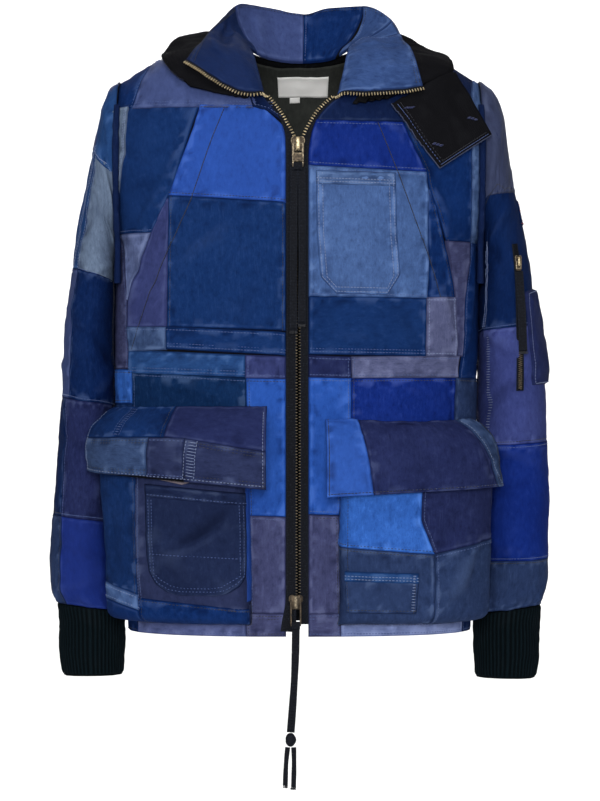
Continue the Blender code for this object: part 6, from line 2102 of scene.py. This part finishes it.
def teeth(pile, places, across, along, out, size=1.0):
    """A row of metal teeth, each clamped over the tape's edge."""
    turns = np.linspace(0, 2 * math.pi, 9)[:-1] + math.pi / 8
    rings = np.array([[(reach, half_long * math.cos(turn) * 1.05, half_thick * math.sin(turn) * 1.05)
                       for turn in turns] for reach, half_long, half_thick in TOOTH_RINGS])
    rings = np.concatenate([rings[:1] * (1, 0.05, 0.05), rings, rings[-1:] * (1, 0.05, 0.05)]) * size
    shape = rings.reshape(-1, 3)
    points = places[:, None] + across[:, None] * shape[None, :, :1]
    points = points + along[:, None] * shape[None, :, 1:2] + out[:, None] * shape[None, :, 2:]
    columns = np.arange(8)
    quads = []
    for ring in range(len(rings) - 1):
        low, high = ring * 8 + columns, ring * 8 + 8 + columns
        quads.append(np.stack([low, np.roll(low, -1), np.roll(high, -1), high], -1))
    quads = np.concatenate(quads)
    if np.sum(np.cross(across[0], along[0]) * out[0]) < 0:
        quads = quads[:, ::-1]
    start = pile.count + len(shape) * np.arange(len(places))[:, None, None]
    pile.add(points.reshape(-1, 3), (start + quads[None]).reshape(-1, 4), (1, 1, 1))


def tape_route(side):
    """Middle line, width, way to the free edge and outward way of a front tape, up to the collar's top."""
    name = NAME[side]
    width = TAPE_WIDTH[name]
    heights = np.concatenate([np.linspace(TAPE_FOOT[name], -0.125, 60), np.linspace(-0.122, -0.062, 24)])
    opened = np.clip((heights + 0.110) / 0.020, 0, 1)
    widths = width + (TAPE_WIDTH_OPEN - width) * opened
    x = read(FRONT_EDGE, name, heights) - GAP - widths / 2
    line = body_point(side, -1, turn_at(side, x, heights), heights) - (0, 0.0002, 0)
    across = np.tile((-side * 1.0, 0, 0), (len(line), 1))
    if side < 0:
        flare = np.clip((-0.598 - heights) / 0.028, 0, 1)
        widths = widths + 0.0060 * flare
        line = line - np.stack([0.0030 * flare, 0.0016 * flare, 0 * flare], -1)
    stations_of = np.array([0.0, 1.0]) if side < 0 else np.array([10.0, 9.0])
    drawn = between_rims(COLLAR, stations_of, 18)
    edge, inner = [clear_of_body(drawn[:, k], COLLAR_OUT) for k in (0, 1)]
    edge[0], inner[0] = drawn[0]
    away = unit(edge - inner)
    upper = edge + away * (3 * GAP + TAPE_WIDTH_OPEN / 2) + (0, 0.0009, 0)
    line = np.concatenate([line, upper])
    across = np.concatenate([across, away])
    widths = np.concatenate([widths, np.full(len(upper), TAPE_WIDTH_OPEN)])
    run = run_along(line)
    fine = np.linspace(0, run[-1], int(run[-1] / TAPE_STEP))
    line, across = [read_along(fine, run, rows) for rows in (line, across)]
    widths = np.interp(fine, run, widths)
    for _ in range(4):
        for rows in (line, across):
            rows[1:-1] = 0.5 * rows[1:-1] + 0.25 * (rows[:-2] + rows[2:])
    along = unit(np.gradient(line, axis=0))
    across = unit(across - along * np.sum(across * along, axis=1, keepdims=True))
    out = np.cross(across, along) * -side
    return line, widths, across, along, out


def front_zip():
    """Both tapes with their rows of teeth, which stand apart above the upper slider."""
    open_teeth, closed_teeth = Pile(), Pile()
    for side in (-1, 1):
        name = NAME[side]
        line, widths, across, along, out = tape_route(side)
        pile = Pile()
        strap(pile, line, across, out, widths, TAPE_THICK * 0.95, DYES["tape_black"])
        made = pile.make("zip_tape_" + name + "_web", [TAPE], "zip_tape", weld=True)
        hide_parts("zip_tape_" + name)
        run = run_along(line)
        low_end = np.interp(LOWER_Z, line[:60, 2], run[:60])
        at = np.arange(low_end - 0.004, run[-1] - 0.002, TOOTH_PITCH) + (0 if side < 0 else TOOTH_PITCH / 2)
        at = at[at < run[-1] - 0.001]
        row = [read_along(at, run, rows) for rows in (line, across, along, out)]
        half = np.interp(at, run, widths)[:, None] / 2
        closed = row[0][:, 2] < UPPER_Z
        for pile, chosen, size in ((open_teeth, ~closed, 1.0), (closed_teeth, closed, 0.66)):
            spots, way, up, forward = [rows[chosen] for rows in row]
            teeth(pile, spots + way * half[chosen], unit(way), unit(up), unit(forward), size)
    open_teeth.make("zip_teeth_open", [BRASS], "zip_metal")
    # the teeth below the upper slider get the darker brass as painted shade, where the tapes fold over them
    closed_teeth.make("zip_teeth_closed", [AGED_AND_SHADED_BRASS], "zip_metal")


def sleeve_spot(around, step, out):
    """A place on the left sleeve and its outward way, by sixteenths of a turn and steps down its table."""
    cloth = Cloth(tube_place(SLEEVE_LEFT, 1), (FRONT_MIDDLE, -0.3), (0.235, 0.01, -0.3))
    height = np.interp(step, column(SLEEVE_LEFT, "step"), column(SLEEVE_LEFT, "out_z"))
    point, away = cloth.base(np.array(around) / 16 * 100 * AROUND, height)
    return point + away * np.asarray(out)[..., None], away


def sleeve_zip_axis():
    """Where the sleeve's pull swings: along the top bar of its solid."""
    (left, back, _), (right, front, top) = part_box("pull_sleeve")
    return np.array([(left + right) / 2, (back + front) / 2, top - 0.0006])


def sleeve_zip(cloth):
    """A small bellows pocket that stands off the left sleeve, and a slanting black zip in front of it."""
    pocket, seams = Pile(), Pile()
    low, high = [np.interp(step, column(SLEEVE_LEFT, "step"), column(SLEEVE_LEFT, "out_z"))
                 for step in (6.8, 5.4)]
    around = np.linspace(-3.75, 16.9, 34)
    heights = np.linspace(low, high, 46)
    u, v = np.meshgrid(around * AROUND, heights)
    wide = np.minimum(u - u.min(), u.max() - u) / 0.008
    tall = np.minimum(v - low, high - v) / 0.014
    rise = np.clip(wide, 0, 1) ** 0.6 * np.clip(tall, 0, 1) ** 0.6
    sag = 0.0010 * soft(u, v, 0.012, 5) * rise
    face = PATCH * np.clip(wide * 4, 0, 1) * np.clip(tall * 4, 0, 1)
    outer = GAP + PATCH + SLEEVE_POCKET_RISE * rise + face + sag
    outer = np.where((wide < 0.02) | (tall < 0.02), -0.0005, outer)
    flat = np.stack([u, v], -1)
    pocket.grid(cloth.at(u, v, outer), DYES["dark_purple"], T, 0.4 * rise, flat, away=cloth.base(u, v)[1])
    made = pocket.make("sleeve_pocket_bag", FABRICS, "patched_cloth")
    near, far, foot, top = u.min() + 0.0020, u.max() - 0.0020, low + 0.003, high - 0.003
    rim = np.array([(near, foot), (far, foot), (far, top), (near, top)])
    for k in range(4):
        seam(seams, cloth, rim[[k, (k + 1) % 4]], DYES["pale_thread"], GAP + 2 * PATCH + 0.0022)
    stitched = seams.make("sleeve_pocket_stitches", [THREAD], "patched_cloth")
    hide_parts("sleeve_pocket")
    share = np.linspace(0, 1, 60)
    line, out = sleeve_spot(3.12 + 0.62 * share, 4.58 + 2.27 * share, GAP + PATCH + 0 * share)
    along = unit(np.gradient(line, axis=0))
    across = unit(np.cross(along, out))
    tape = Pile()
    strap(tape, line, across, np.cross(across, along), SLEEVE_TAPE_WIDTH, PATCH, DYES["tape_black"])
    web = tape.make("sleeve_zip_web", [TAPE], "zip_tape", weld=True)
    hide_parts("sleeve_zip_tape")
    run = run_along(line)
    at = np.arange(0.030, run[-1] - 0.002, SLEEVE_TOOTH_PITCH)
    places, ways, ups, fronts = [read_along(at, run, rows) for rows in (line, across, along, out)]
    chain = Pile()
    for way in (-1, 1):
        spots = places + unit(fronts) * 0.0004 - ways * way * 0.0012 + ups * 0.00055 * way
        teeth(chain, spots, unit(ways) * way, unit(ups), unit(fronts), 0.62)
    chain.make("sleeve_zip_teeth", [AGED_AND_SHADED_BRASS], "zip_metal")


# ---- camera, light and floor ----

WORLD = 0.20            # strength of the even light all round
FLOOR = -1.6            # level of the paper sweep
WALL_AT = 7.5           # how far behind the jacket it stands up
WALL_TOP = 8.0
BEND = 2.0              # radius of its bend
REACH = 14.0            # half its width
MIDDLE = (0, 0, -0.35)  # of the jacket, where the lamps aim
LAMPS = (               # name, place, aim, size and strength
    ("key", (-1.6, -2.6, 1.3), MIDDLE, (1.5, 1.5), 22.0),
    ("fill", (2.2, -2.2, 0.3), MIDDLE, (1.6, 2.0), 6.0),
    ("top", (0.1, -0.6, 2.2), MIDDLE, (1.6, 1.2), 20.0),
    ("wall", (0.0, 3.5, 3.2), (0, WALL_AT, 1.0), (4.0, 0.8), 300.0),
    ("front", (0.0, -3.4, 0.1), MIDDLE, (0.9, 0.9), 70.0),
    ("rim", (-0.6, 2.4, 1.0), MIDDLE, (1.8, 1.2), 8.0),
)


def look_from_the_front():
    """The lens sees the whole height of the jacket from straight ahead, a little over three metres off."""
    data = bpy.data.cameras.new("front_view")
    distance, seen_height = 3.2, 0.897
    data.sensor_width = 36.0
    data.lens = data.sensor_width * distance / seen_height
    camera = bpy.data.objects.new("front_view", data)
    camera.location = (0.001, -distance, -0.381)
    camera.rotation_euler = (math.radians(90), 0, 0)
    bpy.context.scene.collection.objects.link(camera)
    bpy.context.scene.camera = camera


def lamp(name, place, aim, size, power):
    """A rectangle of light at a place, turned to its aim."""
    data = bpy.data.lights.new(name, "AREA")
    data.shape = "RECTANGLE"
    data.size, data.size_y = size
    data.energy = power
    made = bpy.data.objects.new(name, data)
    made.location = place
    made.rotation_euler = (mathutils.Vector(place) - mathutils.Vector(aim)).to_track_quat("Z", "Y").to_euler()
    bpy.context.scene.collection.objects.link(made)


def studio():
    """A pale sweep of floor and wall, a soft key from the left, a fill from the right and a front light."""
    scene = bpy.context.scene
    scene.view_settings.view_transform = "Standard"
    world = bpy.data.worlds.new("studio_air")
    world.use_nodes = True
    world.node_tree.nodes["Background"].inputs["Color"].default_value = (1.0, 1.0, 1.0, 1)
    world.node_tree.nodes["Background"].inputs["Strength"].default_value = WORLD
    scene.world = world
    for row in LAMPS:
        lamp(*row)
    turns = np.linspace(0, math.pi / 2, 14)
    curve = zip(WALL_AT - BEND + BEND * np.sin(turns), FLOOR + BEND - BEND * np.cos(turns))
    profile = [(-REACH, FLOOR), *curve, (WALL_AT, WALL_TOP)]
    points = [(x, y, z) for y, z in profile for x in (-REACH, REACH)]
    faces = [(2 * k, 2 * k + 1, 2 * k + 3, 2 * k + 2) for k in range(len(profile) - 1)]
    mesh = bpy.data.meshes.new("sweep")
    mesh.from_pydata(points, [], faces)
    mesh.shade_smooth()
    sweep = bpy.data.objects.new("sweep", mesh)
    scene.collection.objects.link(sweep)
    finish = Finish("studio_paper", Roughness=0.95, Specular_IOR_Level=0.05)
    cloudy = finish.noise(finish.on_object(), 3.0)
    colour = finish.mix(cloudy * 0.05, (0.93, 0.93, 0.93, 1), (0.90, 0.90, 0.91, 1))
    mesh.materials.append(finish.feed(colour))


look_from_the_front()
hang_ribbons()
right_front = front(-1)
left_front = front(1)
back_cloth = back()
for side, carrier in ((-1, right_front), (1, left_front)):
    cargo_pocket(side, carrier)
    cargo_flap(side, carrier)
sleeve(-1)
left_sleeve = sleeve(1)
for side in (-1, 1):
    cuff(side)
outer_collar()
collar_piece("collar_end_right", 0, 2.54, COLLAR_RIGHT_END, FOLDS_COLLAR_END_RIGHT, 80)
collar_piece("collar_back", 2.56, 8.04, COLLAR_BACK, FOLDS_COLLAR_BACK, 84)
collar_piece("collar_end_left", 8.06, 10, COLLAR_LEFT_END, FOLDS_COLLAR_END_LEFT, 88)
throat_tab()
inside_the_neck(right_front, left_front, back_cloth)
front_zip()
sleeve_zip(left_sleeve)
sliders()
studio()
